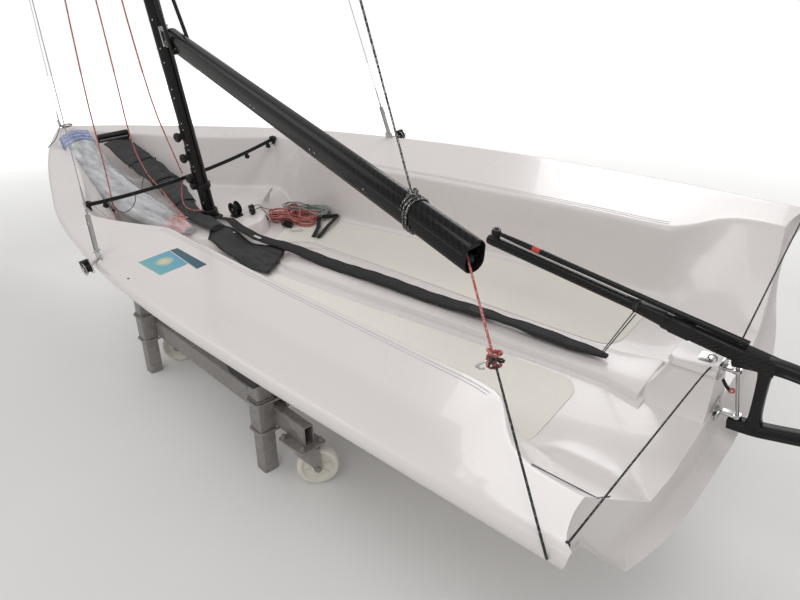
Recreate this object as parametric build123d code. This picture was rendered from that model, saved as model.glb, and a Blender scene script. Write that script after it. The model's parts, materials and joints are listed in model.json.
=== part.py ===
from build123d import *
import os
from math import cos, radians, sin, tan

# Sailing dinghy on its show cradle, in millimetres.
# X runs forward, Y to port and Z up. While the pieces are made, X is measured from the
# transom, Y from the boat's centre plane and Z from its baseline, the hull's lowest line.
# The boat then leans to port on its cradle, and all pieces are moved so that the origin is
# on the floor, in the middle of the whole outline.

# Driving dimensions
HEEL = 9.5  # degrees that the boat leans to port
BASE_RISE = 413  # baseline above the floor, on the centre line
HULL_LENGTH = 4250
BLADE_TIP_X = -1050  # aft end of the raised rudder blade
BOW_TIP_X = 4275  # forward end of the bow fitting
ORIGIN_X = (BLADE_TIP_X + BOW_TIP_X) / 2
ORIGIN_Y = 151.83

FLOOR_Z = 150  # cockpit floor
STEP_Z = 225  # mast platform and bow well floor
DECK_CLEAR = 720  # above every deck, for cutters
WALL_TOP = 620  # where the wells' cutters end

MAST_FOOT = (2530, 0, 228)
MAST_RAKE = 2.31  # degrees aft
MAST_RADIUS = 33
MAST_LOWER_LENGTH = 3350
MAST_LENGTH = 6250
GOOSENECK_RISE = 890  # up the mast from its foot
GOOSENECK_OFFSET = 68  # pin aft of the mast's centre line
HOUNDS_RISE = 4650
SPREADER_RISE = 2670

BOOM_LENGTH = 2050
BOOM_SWING = 12.5  # degrees to port
BOOM_DROOP = 11.9  # degrees below level
BOOM_HIGH, BOOM_WIDE, BOOM_WALL = 90, 64, 4

CHAINPLATE = (1914, 787, 493)
BOW_EYE = (4255, 0, 575)

PINTLE_TOP = (-33, 0, 298)
PINTLE_LOW = (-54, 0, 153)
PINTLE_RADIUS = 5
TILLER_FRONT = (746, 0, 498)
TILLER_RADIUS = 17

CRADLE_Y = 20  # cradle's centre plane, to port of the boat's at the floor
TOE_IN = 3.7  # degrees that each long beam closes in towards the bow
RAIL_Y = 659  # beam and leg distances, taken square to the port beam
RAIL_HIGH, RAIL_WIDE, RAIL_WALL = 80, 40, 4
RAIL_LOW = 190  # under side of the beams above the floor
RAIL_ENDS = (1057, 2380)
LEG_Y = 709
LEG_SIDE, SLEEVE_SIDE = 60, 70
LEGS = (
    # station along the beam, height of the port head, height of the starboard head
    (1276, 388, 600),
    (2299, 420, 690),
)
CLAMP_HEIGHTS = (180, 302)  # U-bolts, under and over the beam
WHEEL_RADIUS = 76


def unit(a, b):
    """Direction from point a to point b."""
    return (Vector(*b) - Vector(*a)).normalized()


def rod(a, b, radius):
    """Round bar from a to b."""
    a, b = Vector(*a), Vector(*b)
    return Plane(origin=a, z_dir=b - a) * extrude(Circle(radius), (b - a).length)


def bar(a, b, wide, high, corner=0, side=(0, 1, 0)):
    """Straight bar from a to b. Its width lies along side, as near as the bar allows."""
    a, b = Vector(*a), Vector(*b)
    along = (b - a).normalized()
    across = (Vector(*side) - along * along.dot(Vector(*side))).normalized()
    face = RectangleRounded(wide, high, corner) if corner else Rectangle(wide, high)
    return Plane(origin=a, x_dir=across, z_dir=along) * extrude(face, (b - a).length)


def chain(points, radius):
    """Round wire through several points, mitred at each by a ball."""
    pieces = [rod(a, b, radius) for a, b in zip(points, points[1:])]
    balls = [Pos(*p) * Sphere(radius) for p in points[1:-1]]
    return fused(pieces + balls)


def fused(pieces):
    """One solid from pieces that touch."""
    whole = pieces[0]
    for piece in pieces[1:]:
        whole = whole + piece
    return whole


def apart(pieces):
    """Like pieces that don't touch, in one node."""
    return Compound([solid for piece in pieces for solid in piece.solids()])


def seated(piece, base):
    """A piece cut to the surface that it sits on."""
    return apart([solid - base for solid in piece.solids()])


def both_sides(piece):
    """A piece and its mirror image across the centre plane."""
    return apart([piece, mirror(piece, Plane.XZ)])


def up_mast(rise, forward=0, port=0):
    """Point at a rise along the mast, moved forward and to port of its centre line."""
    lean = radians(MAST_RAKE)
    return (
        MAST_FOOT[0] - rise * sin(lean) + forward * cos(lean),
        port,
        MAST_FOOT[2] + rise * cos(lean) + forward * sin(lean),
    )


# Hull: half sections at stations, given as heights above the baseline
# columns: station x, gunwale half-breadth, sheer, chine half-breadth, chine height, keel
SECTIONS = (
    (-60, 843, 411, 580, 96, 46),
    (450, 859, 440, 590, 93, 24),
    (950, 864, 459, 590, 92, 9),
    (1450, 853, 473, 566, 97, 1),
    (1950, 808, 485, 508, 108, 0),
    (2500, 710, 501, 408, 140, 10),
    (3000, 556, 514, 290, 184, 32),
    (3500, 381, 525, 172, 228, 68),
    (3900, 214, 538, 84, 266, 116),
    (HULL_LENGTH, 26, 552, 12, 300, 190),
)


def hull_section(x, gunwale, sheer, chine_y, chine_z, keel):
    """Closed cross-section of the hull at one station."""
    rim = min(20, gunwale * 0.5)
    half = [
        (0, keel),
        (chine_y * 0.5, keel + 0.34 * (chine_z - keel)),
        (chine_y, chine_z),
        (gunwale - rim * 0.6, sheer - 48),
        (gunwale, sheer - 20),
        (gunwale - rim, sheer + 4),
    ]
    port = [Vector(x, y, z) for y, z in half]
    star = [Vector(x, -y, z) for y, z in half]
    edges = [
        ThreePointArc(port[0], port[1], port[2]),
        Line(port[2], port[3]),
        ThreePointArc(port[3], port[4], port[5]),
        Line(port[5], star[5]),
        ThreePointArc(star[5], star[4], star[3]),
        Line(star[3], star[2]),
        ThreePointArc(star[2], star[1], star[0]),
    ]
    return Face(Wire(edges))


def plan(points, z):
    """Level face through half-plan points, mirrored to starboard."""
    port = [Vector(x, y, z) for x, y in points]
    star = [Vector(x, -y, z) for x, y in points]
    edges = [Line(a, b) for a, b in zip(port, port[1:])]
    edges.append(Line(port[-1], star[-1]))
    edges += [Line(b, a) for a, b in zip(star, star[1:])][::-1]
    edges.append(Line(star[0], port[0]))
    return Face(Wire(edges))


# Open space inside the hull, as half-plans at its floor and above its deck
COCKPIT_FLOOR_PLAN = ((-160, 470), (350, 490), (1400, 462), (2060, 430), (2450, 380))
COCKPIT_TOP_PLAN = ((-160, 505), (350, 514), (1400, 482), (2060, 452), (2450, 560))
WELL_FLOOR_PLAN = ((2085, 430), (2240, 446), (2400, 462), (2650, 405), (3300, 200), (3850, 62), (3930, 24))
WELL_TOP_PLAN = ((2060, 462), (2240, 560), (2440, 660), (2750, 562), (3300, 344), (3850, 132), (3990, 36))


def between(lower, low_z, upper, high_z):
    """Straight-sided solid between two half-plans."""
    return loft([plan(lower, low_z), plan(upper, high_z)], ruled=True)


def quarter_space():
    """Space over the sloping sides of the open stern, aft of the side tanks."""
    half = ((430, FLOOR_Z), (560, FLOOR_Z + 95), (690, 432), (690, DECK_CLEAR))
    points = [(y, z) for y, z in half] + [(-y, z) for y, z in reversed(half)]
    face = Plane.YZ * make_face(Polyline(*points, close=True))
    return Pos(-160, 0, 0) * extrude(face, 500)


def lip_cutters():
    """What is taken off aft: the space above the lower lip, and a bowed trim of its edge."""
    rise = [(-900, 160), (0, 78), (900, 160)]
    low = ThreePointArc(*[Vector(-200, y, z) for y, z in rise])
    walls = Polyline(low @ 1, (-200, 900, DECK_CLEAR), (-200, -900, DECK_CLEAR), low @ 0)
    above = extrude(Face(Wire([low, *walls.edges()])), 200, dir=(1, 0, 0))
    edge = ThreePointArc((-11, -600, 0), (-50, 0, 0), (-11, 600, 0))
    corners = [(-11, 1000, 0), (-300, 1000, 0), (-300, -1000, 0), (-11, -1000, 0)]
    outside = Polyline(edge @ 1, *corners, edge @ 0)
    behind = extrude(Face(Wire([edge, *outside.edges()])), DECK_CLEAR, dir=(0, 0, 1))
    return above, behind


def mast_platform():
    """Raised tongue under the mast, round at its aft end."""
    tongue = Pos(2420, 0) * SlotOverall(700, 400)
    keep = Pos(2375, 0) * Rectangle(300, 900)
    return Pos(0, 0, FLOOR_Z - 20) * extrude(tongue & keep, STEP_Z - FLOOR_Z + 20)


def floor_spine():
    """Low raised band down the middle of the cockpit floor."""
    low = plan(((150, 82), (1900, 132)), FLOOR_Z - 5)
    high = plan(((160, 66), (1885, 112)), FLOOR_Z + 24)
    return loft([low, high], ruled=True)


def stern_block():
    """Upstand on the centre line that carries the rudder fittings."""
    low = plan(((5, 66), (186, 62)), FLOOR_Z - 20)
    high = plan(((8, 44), (104, 40)), 296)
    return loft([low, high], ruled=True)


def hull_shell():
    """Moulded hull with side tanks, cockpit, bow well, mast platform and stern block."""
    hull = loft([hull_section(*row) for row in SECTIONS])
    for cutter in (
        between(COCKPIT_FLOOR_PLAN, FLOOR_Z, COCKPIT_TOP_PLAN, WALL_TOP),
        between(WELL_FLOOR_PLAN, STEP_Z, WELL_TOP_PLAN, WALL_TOP),
        quarter_space(),
        *lip_cutters(),
    ):
        hull = hull - cutter
    for moulding in (mast_platform(), floor_spine(), stern_block()):
        hull = hull + moulding
    return hull


def floor_tread():
    """Non-slip panels on the cockpit floor, one each side of the spine."""
    corners = (
        (330, 96), (1880, 146), (2050, 120), (2240, 230),
        (2220, 400), (1400, 440), (400, 468), (330, 420),
    )
    face = make_face(Polyline(*corners, close=True))
    return both_sides(Pos(0, 0, FLOOR_Z) * extrude(fillet(face.vertices(), 25), 4))


def mast_tube(low, high, radius_low, radius_high):
    """Round, slightly tapered stretch of mast."""
    a, b = up_mast(low), up_mast(high)
    plane_a = Plane(origin=a, z_dir=unit(a, b))
    plane_b = Plane(origin=b, z_dir=unit(a, b))
    return loft([plane_a * Circle(radius_low), plane_b * Circle(radius_high)])


def mast_foot():
    """Step on the platform: a plate and a collar round the heel."""
    x, y, z = MAST_FOOT
    plate = Pos(x, y, STEP_Z + 3) * Box(120, 90, 6)
    ring = Plane(origin=up_mast(6), z_dir=unit(up_mast(0), up_mast(1))) * extrude(
        Circle(MAST_RADIUS + 10) - Circle(MAST_RADIUS), 40
    )
    return plate - rod(up_mast(-20), up_mast(60), MAST_RADIUS) + ring


KNOB_RISES = (225, 331, 437)


def mast_cleats():
    """Three jamming knobs up the port side of the mast."""
    pieces = []
    for rise in KNOB_RISES:
        start = up_mast(rise, forward=10, port=MAST_RADIUS - 2)
        end = up_mast(rise, forward=10, port=MAST_RADIUS + 36)
        stem = rod(start, end, 9)
        cap = rod(up_mast(rise, forward=10, port=MAST_RADIUS + 14), end, 22)
        pieces.append(stem + cap - mast_tube(0, MAST_LOWER_LENGTH, MAST_RADIUS, MAST_RADIUS))
    return apart(pieces)


def spreader_tip(side):
    """Outer end of a spreader, where the shroud bends."""
    return (2105, side * 400, 2900)


def spreaders():
    """Swept spreaders on a bracket round the mast."""
    mast = mast_tube(0, MAST_LOWER_LENGTH, MAST_RADIUS, MAST_RADIUS)
    arms = []
    for side in (1, -1):
        root = up_mast(SPREADER_RISE, forward=-12, port=side * 16)
        tip = spreader_tip(side)
        arms.append(bar(root, tip, 34, 12, 5, side=(1, 0, 0)))
    ring = Plane(origin=up_mast(SPREADER_RISE - 18), z_dir=unit(up_mast(0), up_mast(1))) * extrude(
        Circle(MAST_RADIUS + 5), 36
    )
    return fused([ring, *arms]) - mast


def shroud(side):
    """Side stay from its chainplate over the spreader tip to the hounds, with its tensioner."""
    x, y, z = CHAINPLATE
    foot = (x, side * y, z + 24)
    tip = spreader_tip(side)
    outer = (tip[0] - 8, tip[1] + side * 8, tip[2])
    top = up_mast(HOUNDS_RISE, forward=-20, port=side * 26)
    direction = unit(foot, outer)
    turnbuckle_end = Vector(*foot) + direction * 190
    wire = chain([tuple(turnbuckle_end), outer, top], 2.5)
    body = rod(foot, tuple(turnbuckle_end), 8)
    return wire + body - mast_tube(MAST_LOWER_LENGTH, MAST_LENGTH, 30, 20) - spreaders()


def forestay():
    """Stay from the bow fitting to the hounds."""
    x, y, z = BOW_EYE
    top = up_mast(HOUNDS_RISE, forward=27)
    wire = rod((x - 9, y, z + 21), top, 2.5)
    return wire - mast_tube(MAST_LOWER_LENGTH, MAST_LENGTH, 30, 20) - bow_fitting()


def bow_fitting():
    """Stem head plate with an eye."""
    x, y, z = BOW_EYE
    plate = Pos(x - 30, 0, 560) * Box(90, 24, 6)
    lug = Pos(x, 0, 578) * Box(40, 5, 36)
    hole = rod((x, -10, z), (x, 10, z), 5)
    return plate + lug - hole


def chainplates():
    """Shroud anchors at the gunwales, each with a turning block outboard."""
    x, y, z = CHAINPLATE
    plate = Pos(x, y, z + 2) * Box(46, 5, 40)
    block = rod((x - 30, y + 50, z - 10), (x - 30, y + 72, z - 10), 20)
    strap = bar((x, y, z - 6), (x - 30, y + 60, z - 8), 14, 5)
    return both_sides(fused([plate, strap, block]))


def jib_track():
    """Cross bar in front of the mast, bowed down in the middle, ending in feet on the well's rim."""
    x, half = TRACK_X, 540
    arc = ThreePointArc((x, -half, TRACK_END_Z), (x, 0, TRACK_MIDDLE_Z), (x, half, TRACK_END_Z))
    section = Plane(origin=arc @ 0, x_dir=(1, 0, 0), z_dir=arc % 0) * RectangleRounded(26, 16, 3)
    beam = sweep(section, path=arc)
    feet = [Pos(x, s * (half - 4), TRACK_END_Z - 3) * Box(40, 16, 34) for s in (1, -1)]
    return fused([beam, *feet])


TRACK_X = 2600
TRACK_END_Z, TRACK_MIDDLE_Z = 482, 449


def track_clamp():
    """Clamp under the lowest knob that holds the cross bar to the mast."""
    rise = 176
    ring = Plane(origin=up_mast(rise - 14), z_dir=unit(up_mast(0), up_mast(1))) * extrude(
        Circle(MAST_RADIUS + 8), 28
    )
    arm = bar(up_mast(rise, forward=20), (TRACK_X, 0, TRACK_MIDDLE_Z - 2), 44, 12)
    mast = mast_tube(0, MAST_LOWER_LENGTH, MAST_RADIUS, MAST_RADIUS)
    return ring + arm - mast - jib_track()


def chute_roller():
    """Roller across the mouth of the sail chute, between two brackets."""
    centre = Vector(3610, -70, 540)
    along = Vector(0.45, 0.893, 0)
    tube = rod(tuple(centre - along * 88), tuple(centre + along * 88), 17)
    low = Vector(0, 0, 26)
    base = bar(tuple(centre - along * 98 - low), tuple(centre + along * 98 - low), 46, 8, side=(1, 0, 0))
    ends = []
    for side in (1, -1):
        foot = centre + along * (side * 86) - Vector(0, 0, 27)
        ends.append(bar(tuple(foot), tuple(foot + Vector(0, 0, 36)), 28, 8, side=(0.893, -0.45, 0)))
    return fused([tube, base, *ends])


def ribbon(points, wide, thick):
    """Flat strap that follows points in the centre plane."""
    top = [(x, z + thick / 2) for x, z in points]
    low = [(x, z - thick / 2) for x, z in reversed(points)]
    face = Plane.XZ * make_face(Polyline(*top, *low, close=True))
    return Pos(0, wide / 2, 0) * extrude(face, wide)


def roll(sections):
    """Soft roll through upright sections: x, y, z of the middle, width and height."""
    faces = []
    for x, y, z, wide, high in sections:
        plane = Plane(origin=(x, y, z), x_dir=(0, 1, 0), z_dir=(1, 0, 0))
        faces.append(plane * RectangleRounded(wide, high, min(wide, high) * 0.45))
    return loft(faces)


def chute_sock():
    """Mesh sleeve from the roller down past the port side of the mast."""
    return roll(
        (
            (2330, 100, 250, 84, 36),
            (2560, 78, 254, 84, 38),
            (2790, 8, 278, 112, 44),
            (3100, -76, 304, 142, 46),
            (3340, -88, 372, 164, 46),
            (3560, -68, 484, 164, 40),
        )
    )


def chute_panel():
    """Mesh panel lying on the floor, aft of the sleeve."""
    outline = Polyline((2205, 44), (2212, 205), (1868, 198), (1905, 40), close=True)
    return Pos(0, 0, FLOOR_Z + 25) * extrude(make_face(outline), 8)


def wrapped_sail():
    """Rolled sail in its wrapper, from the bow down to the port side of the mast."""
    return roll(
        (
            (2420, 198, 262, 72, 58),
            (2700, 204, 284, 134, 92),
            (3050, 186, 330, 168, 104),
            (3450, 152, 418, 168, 100),
            (3770, 84, 566, 150, 84),
        )
    )


def toe_strap():
    """Padded strap along the cockpit floor, lashed to the tiller end."""
    points = (
        (2330, 250),
        (2180, 215),
        (1850, 192),
        (1180, 184),
        (590, 196),
        (310, 190),
    )
    return ribbon(points, 58, 11)


def foot_blocks():
    """Ratchet block at the mast foot and small turning blocks beside it."""
    big = rod((2400, -96, STEP_Z + 42), (2400, -58, STEP_Z + 42), 36)
    base = Pos(2400, -77, STEP_Z + 5) * Box(60, 50, 10)
    small = [rod((x, y, STEP_Z + 17), (x, y + 18, STEP_Z + 17), 16) for x, y in ((2380, -170), (2330, -140))]
    return apart([big + base, *small])


def hank(fore, aft, sizes):
    """Outer shape of a folded rope on the floor, narrow where it is tied."""
    sections = []
    for t, wide, high in sizes:
        x = fore[0] + (aft[0] - fore[0]) * t
        y = fore[1] + (aft[1] - fore[1]) * t
        sections.append((x, y, FLOOR_Z + 4.5 + high / 2, wide, high))
    return roll(sections)


def red_hank():
    """Red sheet, folded and tied."""
    sizes = ((0, 44, 26), (0.17, 84, 50), (0.5, 52, 38), (0.83, 68, 46), (1, 36, 24))
    return hank((2352, -246), (2039, -324), sizes)


def grey_hank():
    """Grey-green sheet, folded, behind the red one."""
    sizes = ((0, 42, 28), (0.17, 78, 58), (0.5, 54, 44), (0.83, 58, 50), (1, 32, 26))
    return hank((2362, -346), (2022, -394), sizes)


# Free lines, each from one fitting to another, by the points of its route
FORE_LINE = (
    (2380, -170, 246), (2380, -190, 246), (2398, -216, 236), (2418, -244, 210),
    (2428, -278, 182), (2418, -314, 167), (2392, -340, 168), (2362, -340, 168),
)
AFT_LINE = (
    (2330, -140, 246), (2330, -162, 246), (2342, -186, 242), (2360, -208, 229),
    (2378, -228, 204), (2388, -246, 180), (2376, -253, 167), (2352, -253, 167),
)
BAR_LANYARD = (
    (2587, 446, 473), (2567, 446, 473), (2553, 450, 452), (2548, 446, 428), (2550, 430, 410),
    (2554, 405, 402), (2556, 380, 406), (2554, 356, 420), (2560, 338, 442), (2570, 330, 464),
    (2587, 330, 464),
)
LINE_RADIUS = 2


def cord_tube(points):
    """Soft line: straight runs joined by arcs as large as the runs allow."""
    corners = [Vector(*p) for p in points]
    radii = []
    for a, b, c in zip(corners, corners[1:], corners[2:]):
        half_turn = radians((b - a).get_angle(c - b)) / 2
        radii.append(0.45 * min((b - a).length, (c - b).length) / tan(half_turn))
    path = FilletPolyline(*corners, radius=radii)
    tube = sweep(Plane(origin=path @ 0, z_dir=path % 0) * Circle(LINE_RADIUS), path=path)
    section = 3.14159 * LINE_RADIUS**2
    print("arcs", [round(r) for r in radii], "length", round(path.length), round(tube.volume / section))
    return tube


def gudgeons():
    """Upper and lower rudder hangers on the stern block and transom."""
    pieces = []
    for pin, size in ((PINTLE_TOP, 46), (PINTLE_LOW, 40)):
        x, y, z = pin
        lug = bar((4, 0, z - 10), (x, 0, z - 10), 26, 8)
        eye = rod((x, 0, z - 14), (x, 0, z - 6), 13)
        plate = Pos(1, 0, z - 10) * Box(6, 70, size)
        pieces.append(lug + eye + plate)
    pin_hole = rod(pintle_point(-80), pintle_point(260), PINTLE_RADIUS)
    return apart([piece - pin_hole - stern_block() for piece in pieces])


def pintle_point(rise):
    """Point on the rudder's turning axis, up from its lower hanger."""
    start = Vector(*PINTLE_LOW)
    return tuple(start + unit(PINTLE_LOW, PINTLE_TOP) * rise)


def pintle_rod():
    """Long pin through both rudder hangers."""
    return rod(pintle_point(-26), pintle_point(168), PINTLE_RADIUS)


def rudder_stock():
    """Open frame that turns on the pin and carries the blade between its arms."""
    outline = Polyline(
        (-18, 304),
        (-18, 340),
        (-100, 352),
        (-352, 318),
        (-424, 290),
        (-432, 186),
        (-400, 158),
        (-352, 152),
        (-110, 108),
        (-36, 100),
        (-36, 132),
        (-84, 138),
        (-80, 304),
        close=True,
    )
    window = Polyline(
        (-112, 318),
        (-112, 144),
        (-316, 192),
        (-316, 290),
        close=True,
    )
    outer, inner = make_face(outline), make_face(window)
    face = fillet(outer.vertices(), 9) - fillet(inner.vertices(), 20)
    frame = Pos(0, 17, 0) * extrude(Plane.XZ * face, 34)
    for start, end in (((-132, 330), (-322, 305)), ((-128, 129), (-330, 172))):
        middle = ((start[0] + end[0]) / 2, (start[1] + end[1]) / 2)
        length = ((end[0] - start[0]) ** 2 + (end[1] - start[1]) ** 2) ** 0.5
        tilt = 180 / 3.14159 * (end[1] - start[1]) / (end[0] - start[0])
        pocket = Pos(*middle) * Rot(0, 0, tilt) * SlotCenterToCenter(length, 13)
        for y in (17, -11):
            frame = frame - Pos(0, y, 0) * extrude(Plane.XZ * pocket, 6)
    slot = Pos(-400, 0, 240) * Box(130, 21, 260)
    frame = frame - slot - rod(blade_pivot(-30), blade_pivot(30), 6.06)
    return frame - rod(pintle_point(-120), pintle_point(300), PINTLE_RADIUS + 0.06)


def tiller_point(reach):
    """Point along the tiller, forward of its root at the rudder."""
    root = Vector(-60, 0, 340)
    return tuple(root + (Vector(*TILLER_FRONT) - root).normalized() * reach)


def tiller():
    """Carbon tiller with its thick sleeve at the rudder end."""
    tube = rod(tiller_point(20), tiller_point(815), TILLER_RADIUS)
    sleeve = bar(tiller_point(-60), tiller_point(230), 46, 44, 8)
    return fused([tube, sleeve]) - rudder_stock()


def extension_frame():
    """Directions along and above the tiller."""
    along = unit(tiller_point(0), tiller_point(1))
    above = Vector(-along.Z, 0, along.X)
    return along, above


def tiller_joint():
    """Stub on the tiller that the extension turns on."""
    along, above = extension_frame()
    front = Vector(*tiller_point(790))
    return rod(tuple(front + above * 12), tuple(front + above * 48), 7) - tiller()


def tiller_extension():
    """Thin extension folded back over the tiller, with a grip at its free end."""
    along, above = extension_frame()
    front = Vector(*tiller_point(790)) + above * 34
    tail = front - along * 770
    tube = rod(tuple(front), tuple(tail), 9)
    hub = rod(tuple(front - above * 12), tuple(front + above * 12), 15)
    hole = rod(tuple(front - above * 30), tuple(front + above * 30), 7.06)
    return fused([tube, hub]) - hole


def blade_pivot(port=0):
    """Point on the blade's turning axis."""
    return (-392, port, 198)


def rudder_blade():
    """Raised blade with its root between the stock's cheeks, and its pin."""
    outline = Polyline(
        (-360, 176),
        (-392, 160),
        (-470, 172),
        (BLADE_TIP_X + 50, 330),
        (BLADE_TIP_X, 400),
        (BLADE_TIP_X + 80, 480),
        (-470, 366),
        (-380, 262),
        (-356, 226),
        close=True,
    )
    blade = Pos(0, 9, 0) * extrude(Plane.XZ * make_face(outline), 18)
    return blade + rod(blade_pivot(-20), blade_pivot(20), 6)


def gooseneck_pin(rise=0):
    """Point on the boom's turning axis, parallel to the mast."""
    return up_mast(GOOSENECK_RISE + rise, forward=-GOOSENECK_OFFSET)


def gooseneck_bracket():
    """Lugs on the aft face of the mast that hold the boom's pin, and the struts' pin above."""
    mast = mast_tube(0, MAST_LOWER_LENGTH, MAST_RADIUS, MAST_RADIUS)
    pieces = []
    for centre in (0, 300):
        back = bar(
            up_mast(GOOSENECK_RISE + centre - 42, forward=-30),
            up_mast(GOOSENECK_RISE + centre + 42, forward=-30),
            40,
            12,
        )
        lugs = [
            bar(
                up_mast(GOOSENECK_RISE + centre + step, forward=-30),
                up_mast(GOOSENECK_RISE + centre + step, forward=-GOOSENECK_OFFSET - 12),
                24,
                8,
            )
            for step in (-34, 34)
        ]
        pin = rod(gooseneck_pin(centre - 44), gooseneck_pin(centre + 44), 6)
        pieces.append(fused([back, *lugs, pin]) - mast)
    return apart(pieces)


def boom_direction():
    """Unit vector along the boom, aft."""
    swing, droop = radians(BOOM_SWING), radians(BOOM_DROOP)
    return Vector(-cos(droop) * cos(swing), cos(droop) * sin(swing), -sin(droop))


def boom_side():
    """Level unit vector to the boom's port side."""
    swing = radians(BOOM_SWING)
    return Vector(sin(swing), cos(swing), 0)


def along_boom(reach, port=0, above=0):
    """Point along the boom, aft of its pin, moved to port of and above its centre line."""
    out, side = boom_direction(), boom_side()
    up = side.cross(out)
    if up.Z < 0:
        up = up * -1
    return tuple(Vector(*gooseneck_pin()) + out * reach + side * port + up * above)


def boom_tube():
    """Carbon boom: a rounded box tube, open at its aft end."""
    face = RectangleRounded(BOOM_WIDE, BOOM_HIGH, 22) - RectangleRounded(
        BOOM_WIDE - 2 * BOOM_WALL, BOOM_HIGH - 2 * BOOM_WALL, 18
    )
    out = boom_direction()
    return Plane(origin=along_boom(60), x_dir=boom_side(), z_dir=out) * extrude(face, BOOM_LENGTH - 60)


def gooseneck():
    """Boom's front fitting: a hub on the pin and a plug in the tube."""
    hub = rod(gooseneck_pin(-28), gooseneck_pin(28), 15)
    tongue = bar(along_boom(4), along_boom(58), 24, 40, side=tuple(boom_side()))
    plug_face = RectangleRounded(BOOM_WIDE, BOOM_HIGH, 22)
    plug = Plane(origin=along_boom(48), x_dir=boom_side(), z_dir=boom_direction()) * extrude(plug_face, 12)
    return fused([hub, tongue, plug]) - rod(gooseneck_pin(-60), gooseneck_pin(60), 6.06)


def gnav_struts():
    """Twin struts from the boom's sides up to the mast, joined by a yoke on the upper pin."""
    struts = []
    for side in (1, -1):
        foot = along_boom(150, port=side * (BOOM_WIDE / 2 + 9), above=-30)
        head = tuple(Vector(*gooseneck_pin(300)) + boom_direction() * 26 + boom_side() * side * 34)
        struts.append(rod(foot, head, 8))
        inner = along_boom(150, port=side * BOOM_WIDE / 2, above=-22)
        outer = along_boom(150, port=side * (BOOM_WIDE / 2 + 14), above=-22)
        struts.append(rod(inner, outer, 12))
    level = Vector(*gooseneck_pin(300)) + boom_direction() * 26
    yoke = rod(tuple(level + boom_side() * 38), tuple(level - boom_side() * 38), 11)
    hub = rod(gooseneck_pin(300 - 26), gooseneck_pin(300 + 26), 15)
    tongue = bar(gooseneck_pin(300), tuple(level), 20, 24, side=tuple(boom_side()))
    return fused([yoke, hub, tongue, *struts]) - rod(gooseneck_pin(230), gooseneck_pin(360), 6.06) - boom_tube()


def leaning(piece):
    """A piece of the boat, set on the cradle at its lean."""
    return Pos(0, 0, BASE_RISE) * Rot(-HEEL, 0, 0) * piece


def toed(piece):
    """A piece made square to the port beam, turned to where that beam lies."""
    return Rot(0, 0, -TOE_IN) * piece


def cradle_mirror(piece):
    """Mirror image across the cradle's centre plane."""
    return mirror(piece, Plane.XZ.offset(-CRADLE_Y))


def box_tube(length, wide, high, wall):
    """Rectangular hollow section along +Z, its height along Y."""
    face = Rectangle(wide, high) - Rectangle(wide - 2 * wall, high - 2 * wall)
    return extrude(face, length)


def cradle_frame():
    """Welded frame: two long beams, open at their ends, and two cross beams."""
    start, end = RAIL_ENDS
    middle = RAIL_LOW + RAIL_HIGH / 2
    tube = box_tube(end - start, RAIL_WIDE, RAIL_HIGH, RAIL_WALL)
    rail = toed(Plane(origin=(start, RAIL_Y, middle), x_dir=(0, 1, 0), z_dir=(1, 0, 0)) * tube)
    rails = [rail, cradle_mirror(rail)]
    beams = []
    for station in (LEGS[0][0] + 90, LEGS[1][0] + 10):
        half = RAIL_Y - station * sin(radians(TOE_IN)) - CRADLE_Y - 19
        tube = box_tube(2 * half, RAIL_WIDE, RAIL_HIGH, RAIL_WALL)
        start_y = CRADLE_Y - half
        beams.append(Plane(origin=(station, start_y, middle), x_dir=(1, 0, 0), z_dir=(0, 1, 0)) * tube)
    return fused([*rails, *beams])


def leg_sides():
    """Each leg's station, its head's height and whether it is the mirrored one."""
    for station, port_head, star_head in LEGS:
        yield station, port_head, False
        yield station, star_head, True


def placed(piece, starboard):
    """A piece of the port leg, on its own side of the cradle."""
    piece = toed(piece)
    return cradle_mirror(piece) if starboard else piece


def cradle_legs():
    """Inner leg tubes, each with a foot plate on the floor and a cap at its head."""
    pieces = []
    for station, head, starboard in leg_sides():
        outer = Pos(station, LEG_Y, head / 2) * Box(LEG_SIDE, LEG_SIDE, head)
        inside = Pos(station, LEG_Y, head / 2) * Box(LEG_SIDE - 8, LEG_SIDE - 8, head - 10)
        pieces.append(placed(outer - inside, starboard))
    return apart(pieces)


def cradle_sleeves():
    """Square sleeves round the legs, where the U-bolts clamp them to the beams."""
    pieces = []
    low, high = CLAMP_HEIGHTS[0] - 12, CLAMP_HEIGHTS[1] + 12
    for station, head, starboard in leg_sides():
        face = Rectangle(SLEEVE_SIDE, SLEEVE_SIDE - 5) - Pos(0, -2.5) * Rectangle(LEG_SIDE, LEG_SIDE)
        sleeve = Pos(station, LEG_Y + 2.5, low) * extrude(face, high - low)
        pieces.append(placed(sleeve, starboard))
    return apart(pieces)


def cradle_clamps():
    """Two U-bolts round each sleeve, with a plate behind the beam."""
    pieces = []
    half = SLEEVE_SIDE / 2 + 5.3
    outer = LEG_Y + SLEEVE_SIDE / 2 + 5.3
    inner = RAIL_Y - RAIL_WIDE / 2 - 22
    for station, head, starboard in leg_sides():
        bolts = [
            chain(
                [
                    (station - half, inner, z),
                    (station - half, outer, z),
                    (station + half, outer, z),
                    (station + half, inner, z),
                ],
                5,
            )
            for z in CLAMP_HEIGHTS
        ]
        low, high = CLAMP_HEIGHTS
        plate = Pos(station, inner + 18, (low + high) / 2) * Box(110, 6, high - low + 36)
        pieces.append(placed(fused([plate, *bolts]), starboard))
    return apart(pieces)


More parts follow.
